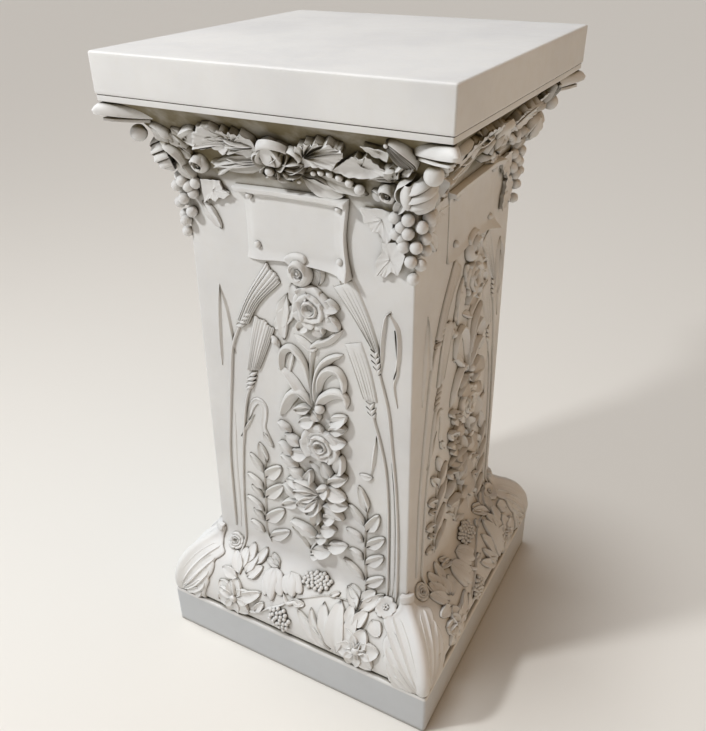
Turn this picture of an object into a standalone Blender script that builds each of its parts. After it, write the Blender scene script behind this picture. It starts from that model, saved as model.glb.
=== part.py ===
"""Statue pedestal: a square cast body with floral relief, and the plain slab bedded on it.

Metres, +Z up, origin at the middle of the underside. The front face looks towards -Y, and the
other three faces carry the same relief, turned by quarter turns.
"""
import math

import bmesh
import bpy
from mathutils import Matrix, Vector

# Driving dimensions of the plain form, bottom to top
PLINTH_WIDTH = 0.406
PLINTH_HEIGHT = 0.065
PLINTH_EDGE = 0.0025
CUSHION_WIDTH = 0.399
CUSHION_RISE = 0.107
CUSHION_BULGE_UP = 0.014
CREASE_DEPTH = 0.003
SHAFT_FOOT_WIDTH = 0.294
SHAFT_TOP_WIDTH = 0.284
SHAFT_HEIGHT = 0.478
CAPITAL_RISE = 0.111
CAPITAL_REACH = 0.051
FILLET_WIDTH = 0.3966
FILLET_HEIGHT = 0.0067
CAP_WIDTH = 0.400
CAP_THICKNESS = 0.042
CAP_EDGE = 0.002
CAP_EDGE_STEPS = 2
CAP_EDGE_ROUNDNESS = 0.5
BED_GAP = 0.0003

# How finely the plain form is faceted
CUSHION_STEPS = 4
FOOT_STEPS = 3
COVE_STEPS = 4

# The cushion is a quarter ellipse up to this angle, and sweeps into the shaft above it
CUSHION_ARC = math.radians(66)
CUSHION_SET_IN = 0.007
CUSHION_SHARE = 0.673

# The capital's hollow curve leans towards this share of its reach and rise
COVE_LEAN_OUT = 0.03
COVE_LEAN_UP = 0.65

# The relief is laid out on a drawing of one face in millimetres: across from the middle of the
# face, and up along the surface. These are the drawing's marks, which the real face is fitted to.
DRAWN_HALF = 147.0
DRAWN_CREASE = 46.0
DRAWN_FOOT = 172.0
DRAWN_TOP = 650.0
DRAWN_FILLET = 776.0

# Relief is carried round a corner on a small radius
CORNER_INSET = 0.006
CORNER_MID_RADIUS = 0.011

# Relief heights are millimetres above the surface; edges and undersides sink into it
MM = 0.001
EDGE_SINK = -0.6
UNDERSIDE = -5.0
DEEP_UNDERSIDE = -8.0

# Shapes of the ornaments, as shares of their own length, radius or height
LEAF_WIDEST = 0.42
PETAL_NOTCH = 0.55
PETAL_LEVEL = 0.7
BUD_RADIUS = 0.5
BUD_HOLLOW = 0.6
BALL_FOOT = 0.75
GRAIN_WIDTH = 0.5
NECK_WIDTH = 0.36
BRUSH_WIDTH = 0.66
BRUSH_WIDEST = 0.88
STEM_SIZE = 2.4

# Width to each side and height of the plain ribbons, in millimetres on the drawing
NARROW_BLADE = (2.6, 2.4)
BROAD_BLADE = (3.2, 3.0)
FOLDED_BLADE = (4.5, 3.0)
SPRIG_STEM = (2.0, 2.6)
SPRIG_LEAF = (7.5, 4.0)

IVORY = (0.70, 0.69, 0.65, 1.0)
FACES = 4


def clear_scene():
    for item in list(bpy.data.objects):
        bpy.data.objects.remove(item, do_unlink=True)


def cast_stone(name, roughness):
    material = bpy.data.materials.new(name)
    material.use_nodes = True
    shader = material.node_tree.nodes["Principled BSDF"]
    shader.inputs["Base Color"].default_value = IVORY
    shader.inputs["Roughness"].default_value = roughness
    shader.inputs["Metallic"].default_value = 0.0
    return material


def curve_point(start, bend, end, share):
    """A point on the quadratic curve from start to end that leans towards bend."""
    rest = 1.0 - share
    return tuple(rest * rest * a + 2.0 * share * rest * b + share * share * c
                 for a, b, c in zip(start, bend, end))


def cushion_outline():
    """Half-widths and heights from the crease over the plinth up to the shaft's foot."""
    bulge = CUSHION_WIDTH / 2
    middle = SHAFT_FOOT_WIDTH / 2 - CUSHION_SET_IN
    reach = bulge - middle
    rise = CUSHION_RISE * CUSHION_SHARE
    level = PLINTH_HEIGHT + CUSHION_BULGE_UP
    outline = [(bulge - CREASE_DEPTH, PLINTH_HEIGHT)]
    for step in range(CUSHION_STEPS + 1):
        angle = CUSHION_ARC * step / CUSHION_STEPS
        outline.append((middle + reach * math.cos(angle), level + rise * math.sin(angle)))
    start = outline[-1]
    foot = (SHAFT_FOOT_WIDTH / 2, PLINTH_HEIGHT + CUSHION_RISE)
    slope = (-reach * math.sin(CUSHION_ARC), rise * math.cos(CUSHION_ARC))
    run = (foot[0] - start[0]) / slope[0]
    bend = (foot[0], start[1] + run * slope[1])
    for step in range(1, FOOT_STEPS + 1):
        outline.append(curve_point(start, bend, foot, step / FOOT_STEPS))
    return outline


def capital_outline():
    """Half-widths and heights of the hollow curve from the shaft's top out to the fillet."""
    level = PLINTH_HEIGHT + CUSHION_RISE + SHAFT_HEIGHT
    half = SHAFT_TOP_WIDTH / 2
    start = (half, level)
    bend = (half + COVE_LEAN_OUT * CAPITAL_REACH, level + COVE_LEAN_UP * CAPITAL_RISE)
    end = (half + CAPITAL_REACH, level + CAPITAL_RISE)
    return [curve_point(start, bend, end, step / COVE_STEPS) for step in range(COVE_STEPS + 1)]


class Face:
    """One face of the body as a strip that bends with the outline and wraps round the corners."""

    def __init__(self):
        cushion = cushion_outline()
        capital = capital_outline()
        self.outline = cushion + capital
        self.runs = [0.0]
        for (r0, z0), (r1, z1) in zip(self.outline, self.outline[1:]):
            self.runs.append(self.runs[-1] + math.hypot(r1 - r0, z1 - z0))
        self.marks = [
            (DRAWN_CREASE, 0.0),
            (DRAWN_FOOT, self.runs[len(cushion) - 1]),
            (DRAWN_TOP, self.runs[len(cushion)]),
            (DRAWN_FILLET, self.runs[-1]),
        ]
        self.scale = SHAFT_FOOT_WIDTH / 2 / DRAWN_HALF

    def run(self, up):
        """The distance along the outline for a height on the drawing."""
        for (d0, r0), (d1, r1) in zip(self.marks, self.marks[1:]):
            if up <= d1 or d1 == DRAWN_FILLET:
                return r0 + (up - d0) / (d1 - d0) * (r1 - r0)

    def section(self, up):
        """Half-width, height and outward normal of the outline for a height on the drawing."""
        run = self.run(up)
        last = len(self.outline) - 2
        index = 0
        while index < last and run > self.runs[index + 1]:
            index += 1
        (r0, z0), (r1, z1) = self.outline[index], self.outline[index + 1]
        length = self.runs[index + 1] - self.runs[index]
        share = (run - self.runs[index]) / length
        normal = ((z1 - z0) / length, (r0 - r1) / length)
        return r0 + share * (r1 - r0), z0 + share * (z1 - z0), normal

    def corner(self, across, up):
        """A place on the drawing measured from the corner edge on the right."""
        half = self.section(up)[0]
        edge = half - CORNER_INSET + CORNER_MID_RADIUS * math.pi / 4
        return edge / self.scale + across, up

    def place(self, across, up, height):
        """The point of the drawing's (across, up), raised by height, on the front face."""
        half, level, (out, lift) = self.section(up)
        side = 1.0 if across >= 0 else -1.0
        along = abs(across) * self.scale
        rise = height * MM
        flat = half - CORNER_INSET
        arc = CORNER_MID_RADIUS * math.pi / 2
        z = level + rise * lift
        reach = CORNER_INSET + rise * out
        if along <= flat:
            x, y = along, -flat - reach
        elif along >= flat + arc:
            x, y = flat + reach, -flat + (along - flat - arc)
        else:
            angle = (along - flat) / CORNER_MID_RADIUS
            x, y = flat + reach * math.sin(angle), -flat - reach * math.cos(angle)
        return Vector((side * x, y, z))


class Relief:
    """Closed low solids on one face, gathered into one mesh."""

    def __init__(self, face):
        self.face = face
        self.points = []
        self.faces = []

    def add(self, spots, faces):
        first = len(self.points)
        self.points.extend(self.face.place(*spot) for spot in spots)
        self.faces.extend([first + corner for corner in face] for face in faces)

    def block(self, rim, top, under=UNDERSIDE):
        """An upright-sided block: a rim of raised places round a top place, closed underneath."""
        count = len(rim)
        spots = [*rim, *((across, up, under) for across, up, height in rim)]
        spots += [top, (top[0], top[1], under)]
        faces = []
        for corner in range(count):
            after = (corner + 1) % count
            faces.append((2 * count, corner, after))
            faces.append((2 * count + 1, count + after, count + corner))
            faces.append((corner, count + corner, count + after))
            faces.append((corner, count + after, after))
        self.add(spots, faces)

    def leaf(self, base, tip, wide, height, under=UNDERSIDE):
        """A kite-shaped leaf, widest and highest near its base."""
        self.strip([base, between(base, tip, LEAF_WIDEST), tip], [wide], [height], under)

    def strip(self, path, widths, heights, under=UNDERSIDE):
        """A ridge along the path, pointed at both ends, as wide and high as given in between."""
        spots = [(*path[0], EDGE_SINK)]
        for before, (x, y), after, wide, height in zip(path, path[1:], path[2:], widths, heights):
            (x0, y0), (x1, y1) = before, after
            length = math.hypot(x1 - x0, y1 - y0)
            side = (wide * (y0 - y1) / length, wide * (x1 - x0) / length)
            spots += [
                (x + side[0], y + side[1], EDGE_SINK),
                (x, y, height),
                (x - side[0], y - side[1], EDGE_SINK),
                (x, y, under),
            ]
        spots.append((*path[-1], EDGE_SINK))
        end = len(spots) - 1
        faces = []
        for edge in range(4):
            after = (edge + 1) % 4
            faces.append((0, 1 + after, 1 + edge))
            faces.append((end, end - 4 + edge, end - 4 + after))
            for ring in range(1, end - 4, 4):
                faces.append((ring + edge, ring + after, ring + 4 + after))
                faces.append((ring + edge, ring + 4 + after, ring + 4 + edge))
        self.add(spots, faces)

    def ribbon(self, path, wide, height, under=UNDERSIDE):
        inner = len(path) - 2
        self.strip(path, [wide] * inner, [height] * inner, under)

    def flower(self, centre, radius, petals, height, turn=0.0, under=UNDERSIDE):
        """A star of pointed petals, each with a ridge from the middle out to its tip."""
        x, y = centre
        rim = []
        for corner in range(2 * petals):
            reach = radius if corner % 2 else PETAL_NOTCH * radius
            angle = turn + corner * math.pi / petals
            rim.append((x + reach * math.cos(angle), y + reach * math.sin(angle), EDGE_SINK))
        self.dome(rim, (x, y, height), under)

    def dome(self, rim, top, under=UNDERSIDE):
        """Facets from a rim up to one raised place and down to one sunk place."""
        count = len(rim)
        faces = []
        for corner in range(count):
            after = (corner + 1) % count
            faces.append((count, corner, after))
            faces.append((count + 1, after, corner))
        self.add([*rim, top, (top[0], top[1], under)], faces)

    def rose(self, centre, radius, height, turn=0.0, under=UNDERSIDE):
        """Open outer petals with a cupped bud standing inside them."""
        petals = 5
        self.flower(centre, radius, petals, PETAL_LEVEL * height, turn=turn, under=under)
        x, y = centre
        bud = BUD_RADIUS * radius
        rim = []
        for corner in range(petals):
            angle = turn + 2 * math.pi * corner / petals
            rim.append((x + bud * math.cos(angle), y + bud * math.sin(angle), height))
        self.block(rim, (x, y, BUD_HOLLOW * height), under)

    def ball(self, centre, radius, height, sides=5):
        """A grape or berry: a faceted dome with its widest ring above the surface."""
        x, y = centre
        spots = [(x, y, UNDERSIDE), (x, y, height + radius)]
        for reach, level in ((BALL_FOOT * radius, EDGE_SINK), (radius, height)):
            for corner in range(sides):
                angle = 2 * math.pi * corner / sides
                spots.append((x + reach * math.cos(angle), y + reach * math.sin(angle), level))
        self.add(spots, turned_faces(sides, 2))


def between(start, end, share):
    return start[0] + share * (end[0] - start[0]), start[1] + share * (end[1] - start[1])


def turned_faces(sides, rings):
    """Triangles of a turned form: a bottom point 0, a top point 1, and rings in between."""
    faces = []
    top = 2 + (rings - 1) * sides
    for corner in range(sides):
        after = (corner + 1) % sides
        faces.append((0, 2 + after, 2 + corner))
        faces.append((1, top + corner, top + after))
        for ring in range(rings - 1):
            low = 2 + ring * sides
            high = low + sides
            faces.append((low + corner, low + after, high + after))
            faces.append((low + corner, high + after, high + corner))
    return faces


def plaque(relief):
    """A blank plate with curled corners, held by four round-headed pins."""
    rim = [(-70, 677, 7), (-59, 640, 4), (-61, 595, 5), (10, 603, 5),
           (69, 596, 9), (63, 640, 6), (67, 681, 8), (0, 681, 7)]
    relief.block(rim, (0, 642, 3))
    for pin in [(-52, 669), (58, 671), (-47, 613), (58, 612)]:
        relief.ball(pin, 3.6, 4.5, sides=4)


def wheat(relief, stem, ear, brush_end, wide):
    """An ear of wheat on a long stem, with its awns as one brush that spreads to its end."""
    relief.ribbon(stem, STEM_SIZE, STEM_SIZE)
    foot, neck = ear
    path = [foot, between(foot, neck, 0.5), neck, between(neck, brush_end, BRUSH_WIDEST), brush_end]
    relief.strip(path, [GRAIN_WIDTH * wide, NECK_WIDTH * wide, BRUSH_WIDTH * wide], [6, 4, 3.5])


def wheat_and_blades(relief):
    for stem, ear, brush_end, wide in [
        ([(-104, 130), (-101, 240), (-91, 430), (-84, 504)], ((-85, 500), (-68, 530)), (-28, 583), 19),
        ([(-121, 165), (-116, 290), (-104, 375), (-80, 420)], ((-80, 414), (-66, 448)), (-44, 521), 20),
        ([(133, 140), (132, 260), (124, 374), (106, 492)], ((106, 486), (95, 516)), (57, 589), 20),
        ([(120, 150), (119, 276), (114, 350), (98, 428)], ((99, 422), (92, 452)), (73, 521), 18),
    ]:
        wheat(relief, stem, ear, brush_end, wide)
    relief.ribbon([(-118, 436), (-113, 502), (-106, 551)], *NARROW_BLADE)
    relief.ribbon([(-109, 549), (-99, 519), (-93, 470)], *NARROW_BLADE)
    relief.ribbon([(106, 500), (108, 536), (116, 565)], *BROAD_BLADE)
    relief.ribbon([(111, 562), (124, 530), (125, 452)], *BROAD_BLADE)
    relief.ribbon([(-95, 345), (-82, 378), (-65, 402)], *FOLDED_BLADE)
    relief.leaf((-68, 402), (-49, 340), 5, 3)
    relief.leaf((100, 404), (94, 340), 4, 3)


def flower_spray(relief):
    """The upright spray in the middle of a face: four roses, folded ribbons and leaves."""
    relief.rose((8, 589), 20, 12, turn=0.9)
    relief.rose((21, 547), 28, 11, turn=0.5)
    relief.leaf((36, 551), (58, 558), 9, 6)
    relief.leaf((34, 541), (55, 530), 8, 6)
    relief.leaf((-2, 566), (-24, 504), 14, 4)
    relief.ribbon([(-6, 509), (19, 499), (57, 531)], 5, 6)
    relief.ribbon([(12, 455), (-5, 490), (-22, 481), (-25, 456)], 5, 8)
    relief.ribbon([(13, 425), (-8, 448), (-27, 457)], 7, 8)
    relief.ribbon([(15, 420), (-10, 422), (-30, 393)], 7, 8)
    relief.ribbon([(20, 430), (28, 470), (57, 500)], 5.5, 8)
    relief.ribbon([(24, 444), (34, 470), (56, 472), (56, 447)], 5, 9)
    relief.ribbon([(21, 423), (48, 444), (60, 431)], 7, 9)
    for base, tip, wide in [
        ((21, 399), (-3, 405), 8), ((38, 402), (62, 418), 9), ((-6, 358), (-30, 369), 7),
        ((10, 350), (-31, 340), 10), ((44, 324), (60, 350), 9), ((2, 306), (-22, 316), 9),
        ((-6, 270), (-33, 262), 9), ((34, 288), (62, 288), 9), ((27, 272), (56, 260), 8),
        ((24, 222), (46, 252), 9), ((19, 219), (-20, 229), 9), ((6, 184), (37, 199), 8),
        ((32, 207), (61, 218), 7),
    ]:
        relief.leaf(base, tip, wide, 7)
    relief.rose((27, 364), 24, 11, turn=0.3)
    relief.flower((12, 276), 26, 5, 12, turn=0.9)


def sprig(relief, stem, leaves):
    relief.ribbon(stem, *SPRIG_STEM)
    for base, tip in leaves:
        relief.leaf(base, tip, *SPRIG_LEAF)


def sprigs(relief):
    sprig(relief, [(-60, 172), (-65, 230), (-57, 322)], [
        ((-57, 313), (-66, 336)), ((-64, 288), (-86, 312)), ((-66, 248), (-93, 266)),
        ((-61, 284), (-36, 308)), ((-63, 246), (-35, 272)), ((-64, 204), (-33, 228)),
    ])
    sprig(relief, [(90, 118), (86, 220), (90, 298)], [
        ((90, 290), (78, 322)), ((87, 256), (63, 280)), ((86, 214), (58, 228)),
        ((90, 262), (109, 287)), ((88, 222), (114, 243)), ((88, 176), (114, 198)),
        ((90, 142), (64, 156)),
    ])


def cushion_garland(relief):
    """The garland over the cushion: flowers, leaves, two bunches and the vine between them."""
    relief.ball((-117, 156), 11, 2)
    relief.flower((-94, 84), 35, 6, 8, turn=0.2)
    relief.leaf((-16, 142), (-42, 98), 22, 7)
    relief.flower((23, 147), 20, 4, 7, turn=0.3)
    relief.flower((-18, 78), 17, 4, 7)
    relief.ribbon([(-62, 62), (-6, 102), (82, 134)], 3, 4)
    relief.leaf((40, 124), (72, 62), 26, 8)
    relief.flower((99, 76), 31, 6, 8, turn=0.5)
    relief.flower((120, 142), 17, 5, 6, turn=0.3)


def corner_shell(relief):
    """The shell leaf down the cushion's corner: a broad rib and scalloped lobes on both sides."""
    corner = relief.face.corner
    path = [corner(0, up) for up in (180, 132, 66, 44)]
    relief.strip(path, [16, 18], [7, 8], under=DEEP_UNDERSIDE - 1.0)
    for side in (-1, 1):
        for base, tip in [(162, 132), (130, 96), (96, 60)]:
            relief.leaf(corner(side * 6, base), corner(side * 38, tip), 13, 6)


def swag(relief):
    """Leaves and an open flower along the capital."""
    deep = DEEP_UNDERSIDE
    for base, tip, wide in [
        ((-118, 727), (-96, 751), 10), ((-24, 728), (-86, 750), 13), ((-26, 714), (-104, 712), 12),
        ((-28, 702), (-98, 688), 8), ((22, 722), (52, 750), 11), ((22, 722), (78, 740), 12),
        ((113, 726), (62, 714), 12), ((124, 746), (100, 755), 7), ((138, 728), (150, 760), 11),
    ]:
        relief.leaf(base, tip, wide, 9, under=deep)
    relief.flower((2, 722), 28, 5, 12, turn=0.4, under=deep)
    relief.ribbon([(26, 703), (52, 712), (94, 686)], 7, 9, under=deep)


def corner_bunch(relief):
    """The hanging cluster on a corner of the capital: leaf tip, bud, roses, vine leaves, grapes."""
    corner = relief.face.corner
    relief.leaf(corner(0, 726), corner(0, 768), 20, 15)
    relief.ball(corner(0, 727), 10, 15)
    relief.rose(corner(0, 702), 27, 23)
    for side in (-1, 1):
        relief.ball(corner(side * 36, 696), 12, 4)
        relief.leaf(corner(side * 28, 660), corner(side * 66, 676), 14, 4)
        relief.leaf(corner(side * 22, 640), corner(side * 48, 607), 12, 4)
    for up, offsets in [(668, (-21, 0, 21)), (649, (-11, 11)), (631, (-6, 8)), (612, (0,))]:
        for across in offsets:
            relief.ball(corner(across, up), 9.5, 4)


def carved_relief(face):
    relief = Relief(face)
    for part in (plaque, wheat_and_blades, flower_spray, sprigs, cushion_garland, corner_shell,
                 swag, corner_bunch):
        part(relief)
    return relief


def mesh_object(name, points, faces, material):
    mesh = bpy.data.meshes.new(name)
    mesh.from_pydata(points, [], faces)
    mesh.materials.append(material)
    item = bpy.data.objects.new(name, mesh)
    bpy.context.scene.collection.objects.link(item)
    return item


def plain_form(face, material):
    """The square body without relief: rings of the outline joined from the underside to the top."""
    plinth = PLINTH_WIDTH / 2
    fillet = FILLET_WIDTH / 2
    top = face.outline[-1][1]
    rings = [(plinth, 0.0), (plinth, PLINTH_HEIGHT - PLINTH_EDGE),
             (plinth - PLINTH_EDGE, PLINTH_HEIGHT)]
    rings += face.outline
    rings += [(fillet, top), (fillet, top + FILLET_HEIGHT)]
    points = []
    for half, level in rings:
        points += [(-half, -half, level), (half, -half, level), (half, half, level), (-half, half, level)]
    faces = [(3, 2, 1, 0)]
    for ring in range(len(rings) - 1):
        low = 4 * ring
        for corner in range(4):
            after = (corner + 1) % 4
            faces.append((low + corner, low + after, low + 4 + after, low + 4 + corner))
    last = len(points) - 4
    faces.append((last, last + 1, last + 2, last + 3))
    return mesh_object("pedestal_body", points, faces, material)


def turned_round(relief, material):
    """The relief of one face, repeated on all four, as the solid to join to the body."""
    points, faces = [], []
    for side in range(FACES):
        turn = Matrix.Rotation(side * math.pi / 2, 3, "Z")
        first = len(points)
        points += [turn @ point for point in relief.points]
        faces += [[first + corner for corner in face] for face in relief.faces]
    carving = mesh_object("carving", points, faces, material)
    carving.hide_render = True
    carving.display_type = "WIRE"
    return carving


def pedestal_body(material):
    face = Face()
    body = plain_form(face, material)
    carving = turned_round(carved_relief(face), material)
    union = body.modifiers.new("carving", "BOOLEAN")
    union.operation = "UNION"
    union.solver = "EXACT"
    union.use_self = True
    union.object = carving
    return face.outline[-1][1] + FILLET_HEIGHT


def cap_slab(seat, material):
    """The plain slab, a joint's width above the body, with its edges just taken off."""
    work = bmesh.new()
    size = Matrix.Diagonal((CAP_WIDTH, CAP_WIDTH, CAP_THICKNESS, 1.0))
    lift = Matrix.Translation((0, 0, seat + BED_GAP + CAP_THICKNESS / 2))
    bmesh.ops.create_cube(work, size=1.0, matrix=lift @ size)
    edges = list(work.edges)
    bmesh.ops.bevel(work, geom=edges, offset=CAP_EDGE, segments=CAP_EDGE_STEPS, affect="EDGES",
                    profile=CAP_EDGE_ROUNDNESS)
    mesh = bpy.data.meshes.new("cap_slab")
    work.to_mesh(mesh)
    work.free()
    mesh.materials.append(material)
    slab = bpy.data.objects.new("cap_slab", mesh)
    bpy.context.scene.collection.objects.link(slab)


def build():
    clear_scene()
    seat = pedestal_body(cast_stone("cast_ivory_body", 0.62))
    cap_slab(seat, cast_stone("cast_ivory_slab", 0.55))


build()
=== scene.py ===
"""Looks of the statue pedestal: smooth body, fine relief on its four faces, slab, finish and light.

The relief is laid out in millimetres on a drawing of one face: across from its middle, up along
its surface, and the height above it. The drawing is then bent over the cushion and the capital
and wrapped round the corners. All four faces carry it.
"""
import math

import bmesh
import bpy
import numpy as np
from mathutils import Matrix, Vector


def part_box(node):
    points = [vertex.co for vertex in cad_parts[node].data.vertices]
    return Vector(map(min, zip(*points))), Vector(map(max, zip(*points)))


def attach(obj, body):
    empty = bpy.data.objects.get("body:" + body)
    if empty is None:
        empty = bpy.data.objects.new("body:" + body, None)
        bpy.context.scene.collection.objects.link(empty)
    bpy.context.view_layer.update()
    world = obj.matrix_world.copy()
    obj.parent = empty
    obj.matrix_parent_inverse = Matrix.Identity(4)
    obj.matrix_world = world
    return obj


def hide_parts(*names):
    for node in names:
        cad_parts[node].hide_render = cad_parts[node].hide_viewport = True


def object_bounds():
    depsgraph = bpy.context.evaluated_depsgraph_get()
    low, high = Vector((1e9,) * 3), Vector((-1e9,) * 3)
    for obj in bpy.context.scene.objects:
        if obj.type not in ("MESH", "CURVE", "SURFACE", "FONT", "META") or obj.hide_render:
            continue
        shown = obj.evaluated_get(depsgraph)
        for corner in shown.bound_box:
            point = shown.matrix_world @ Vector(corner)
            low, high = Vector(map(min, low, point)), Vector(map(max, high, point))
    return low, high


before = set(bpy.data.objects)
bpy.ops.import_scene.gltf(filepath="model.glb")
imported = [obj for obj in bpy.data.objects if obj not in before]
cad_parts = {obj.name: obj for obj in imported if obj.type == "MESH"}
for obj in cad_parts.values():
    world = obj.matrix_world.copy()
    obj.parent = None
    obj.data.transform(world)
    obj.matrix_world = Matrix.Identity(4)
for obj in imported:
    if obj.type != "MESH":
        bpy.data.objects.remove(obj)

CAD_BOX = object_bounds()
BODY_LOW, BODY_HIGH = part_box("pedestal_body")
CAP_LOW, CAP_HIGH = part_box("cap_slab")

# Sizes of the plain form, in metres, as the solids have them
PLINTH_WIDTH = 0.406
PLINTH_HEIGHT = 0.065
CUSHION_WIDTH = 0.399
CUSHION_RISE = 0.107
CUSHION_BULGE_UP = 0.014
CREASE_DEPTH = 0.005
SHAFT_FOOT_WIDTH = 0.294
SHAFT_TOP_WIDTH = 0.284
SHAFT_HEIGHT = 0.478
CAPITAL_RISE = 0.111
CAPITAL_REACH = 0.051
FILLET_WIDTH = 0.3966
CUSHION_ARC = math.radians(66)
CUSHION_SET_IN = 0.007
CUSHION_SHARE = 0.673
COVE_LEAN_OUT = 0.03
COVE_LEAN_UP = 0.65

# Marks of the drawing that the real face is fitted to, in millimetres
DRAWN_CREASE = 46.0
DRAWN_FOOT = 172.0
DRAWN_TOP = 650.0
DRAWN_FILLET = 776.0
CORNER_INSET = 0.006
CORNER_MID_RADIUS = 0.011
MM = 0.001

# Points along each side and round each corner of a ring of the smooth body, and its corner radii
RING_SIDE = 26
RING_ARC = 6
PLINTH_CORNER = 0.004
CAP_CORNER = 0.0025

# Relief this high, in millimetres, counts as fully proud in the finish
PROUD_FULL = 8.0

# Relief edges are rounded over this far, and skirts run this deep into the surface
RIM = 0.5
UNDER = -2.5
DEEP = -7.0

# The camera, fitted to the edges of the slab and the plinth
CAMERA_PLACE = (0.43573, -0.79652, 0.92763)
CAMERA_AZIMUTH = math.radians(29.234)
CAMERA_DOWN = math.radians(30.367)
CAMERA_ROLL = math.radians(-0.7105)
CAMERA_LENS = 38.225
SENSOR_WIDTH = 36


def eased(share):
    share = np.clip(share, 0.0, 1.0)
    return share * share * (3.0 - 2.0 * share)


def bell(place, middle, spread):
    return np.exp(-((place - middle) / spread) ** 2)


def quadratic(start, bend, end, count):
    share = np.linspace(0, 1, count)[:, None]
    start, bend, end = (np.array(place, float) for place in (start, bend, end))
    return (1 - share) ** 2 * start + 2 * share * (1 - share) * bend + share ** 2 * end


def curve(points, count):
    """Evenly spaced places on a smooth line through the points."""
    points = np.array(points, float)
    padded = np.vstack([2 * points[0] - points[1], points, 2 * points[-1] - points[-2]])
    share = np.linspace(0, 1, 12, endpoint=False)[:, None]
    runs = []
    for a, b, c, d in zip(padded, padded[1:], padded[2:], padded[3:]):
        cubic = 3 * b - a - 3 * c + d
        square = 2 * a - 5 * b + 4 * c - d
        runs.append(0.5 * (2 * b + (c - a) * share + square * share ** 2 + cubic * share ** 3))
    dense = np.vstack([*runs, points[-1:]])
    steps = np.linalg.norm(np.diff(dense[:, :2], axis=0), axis=1)
    reach = np.concatenate([[0.0], np.cumsum(steps)])
    wanted = np.linspace(0, reach[-1], count)
    return np.column_stack([np.interp(wanted, reach, column) for column in dense.T])


def length_of(points):
    points = np.array(points, float)[:, :2]
    return np.linalg.norm(np.diff(points, axis=0), axis=1).sum()


def cushion_outline():
    """Half-widths and heights from the crease over the plinth up to the shaft's foot."""
    bulge = CUSHION_WIDTH / 2
    middle = SHAFT_FOOT_WIDTH / 2 - CUSHION_SET_IN
    reach = bulge - middle
    rise = CUSHION_RISE * CUSHION_SHARE
    level = PLINTH_HEIGHT + CUSHION_BULGE_UP
    angle = np.linspace(0, CUSHION_ARC, 24)
    arc = np.column_stack([middle + reach * np.cos(angle), level + rise * np.sin(angle)])
    roll = quadratic((bulge - CREASE_DEPTH, PLINTH_HEIGHT), (bulge, PLINTH_HEIGHT + 0.002), arc[0], 6)
    foot = np.array([SHAFT_FOOT_WIDTH / 2, PLINTH_HEIGHT + CUSHION_RISE])
    slope = np.array([-reach * math.sin(CUSHION_ARC), rise * math.cos(CUSHION_ARC)])
    bend = arc[-1] + slope * (foot[0] - arc[-1, 0]) / slope[0]
    sweep = quadratic(arc[-1], bend, foot, 12)
    return np.vstack([roll[:-1], arc[:-1], sweep])


def capital_outline():
    level = PLINTH_HEIGHT + CUSHION_RISE + SHAFT_HEIGHT
    half = SHAFT_TOP_WIDTH / 2
    bend = (half + COVE_LEAN_OUT * CAPITAL_REACH, level + COVE_LEAN_UP * CAPITAL_RISE)
    return quadratic((half, level), bend, (half + CAPITAL_REACH, level + CAPITAL_RISE), 24)


class Surface:
    """The body's outline as one run, with the drawing's heights fitted to it."""

    def __init__(self):
        cushion = cushion_outline()
        capital = capital_outline()
        self.outline = np.vstack([cushion, capital])
        steps = np.linalg.norm(np.diff(self.outline, axis=0), axis=1)
        self.runs = np.concatenate([[0.0], np.cumsum(steps)])
        way = np.gradient(self.outline, axis=0)
        way /= np.linalg.norm(way, axis=1)[:, None]
        self.normals = np.column_stack([way[:, 1], -way[:, 0]])
        self.foot = foot = len(cushion) - 1
        self.marks = [DRAWN_CREASE, DRAWN_FOOT, DRAWN_TOP, DRAWN_FILLET]
        self.mark_runs = [0.0, self.runs[foot], self.runs[foot + 1], self.runs[-1]]

    def section(self, up):
        """Half-widths, heights and normals of the outline for heights on the drawing."""
        run = np.interp(up, self.marks, self.mark_runs)
        half = np.interp(run, self.runs, self.outline[:, 0])
        level = np.interp(run, self.runs, self.outline[:, 1])
        out = np.interp(run, self.runs, self.normals[:, 0])
        lift = np.interp(run, self.runs, self.normals[:, 1])
        return half, level, out, lift

    def edge(self, up):
        """How far across the drawing the corner lies."""
        half = self.section(up)[0]
        return (half - CORNER_INSET + CORNER_MID_RADIUS * math.pi / 4) / MM

    def wrap(self, across, half, proud, level):
        """Points round a square: metres across from a face's middle, half-width, distance out, height."""
        along = np.abs(across)
        flat = half - CORNER_INSET
        reach = CORNER_INSET + proud
        turn = np.clip((along - flat) / CORNER_MID_RADIUS, 0.0, math.pi / 2)
        past = np.maximum(along - flat - CORNER_MID_RADIUS * math.pi / 2, 0.0)
        x = np.minimum(along, flat) + reach * np.sin(turn)
        y = -flat - reach * np.cos(turn) + past
        return np.stack([np.sign(across) * x, y, level + 0 * along], axis=-1)

    def place(self, spots):
        """Points in metres on the front face for places and heights on the drawing."""
        half, level, out, lift = self.section(spots[..., 1])
        height = spots[..., 2] * MM
        return self.wrap(spots[..., 0] * MM, half, height * out, level + height * lift)


SURFACE = Surface()


def with_lip(spots, axis, under):
    """Rows added at both ends of a grid: a rounded edge, and a skirt down into the surface."""
    spots = np.swapaxes(spots, 0, axis)
    made = []
    for edge, inner in ((spots[0], spots[1]), (spots[-1], spots[-2])):
        way = edge[:, :2] - inner[:, :2]
        way = way / np.maximum(np.linalg.norm(way, axis=1), 1e-6)[:, None]
        lip = edge.copy()
        lip[:, :2] += RIM * way
        lip[:, 2] = np.maximum(edge[:, 2] - RIM, under)
        foot = lip.copy()
        foot[:, 2] = under
        made.append((lip, foot))
    (low_lip, low_foot), (high_lip, high_foot) = made
    grown = np.concatenate([[low_foot], [low_lip], spots, [high_lip], [high_foot]])
    return np.swapaxes(grown, 0, axis)


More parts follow.
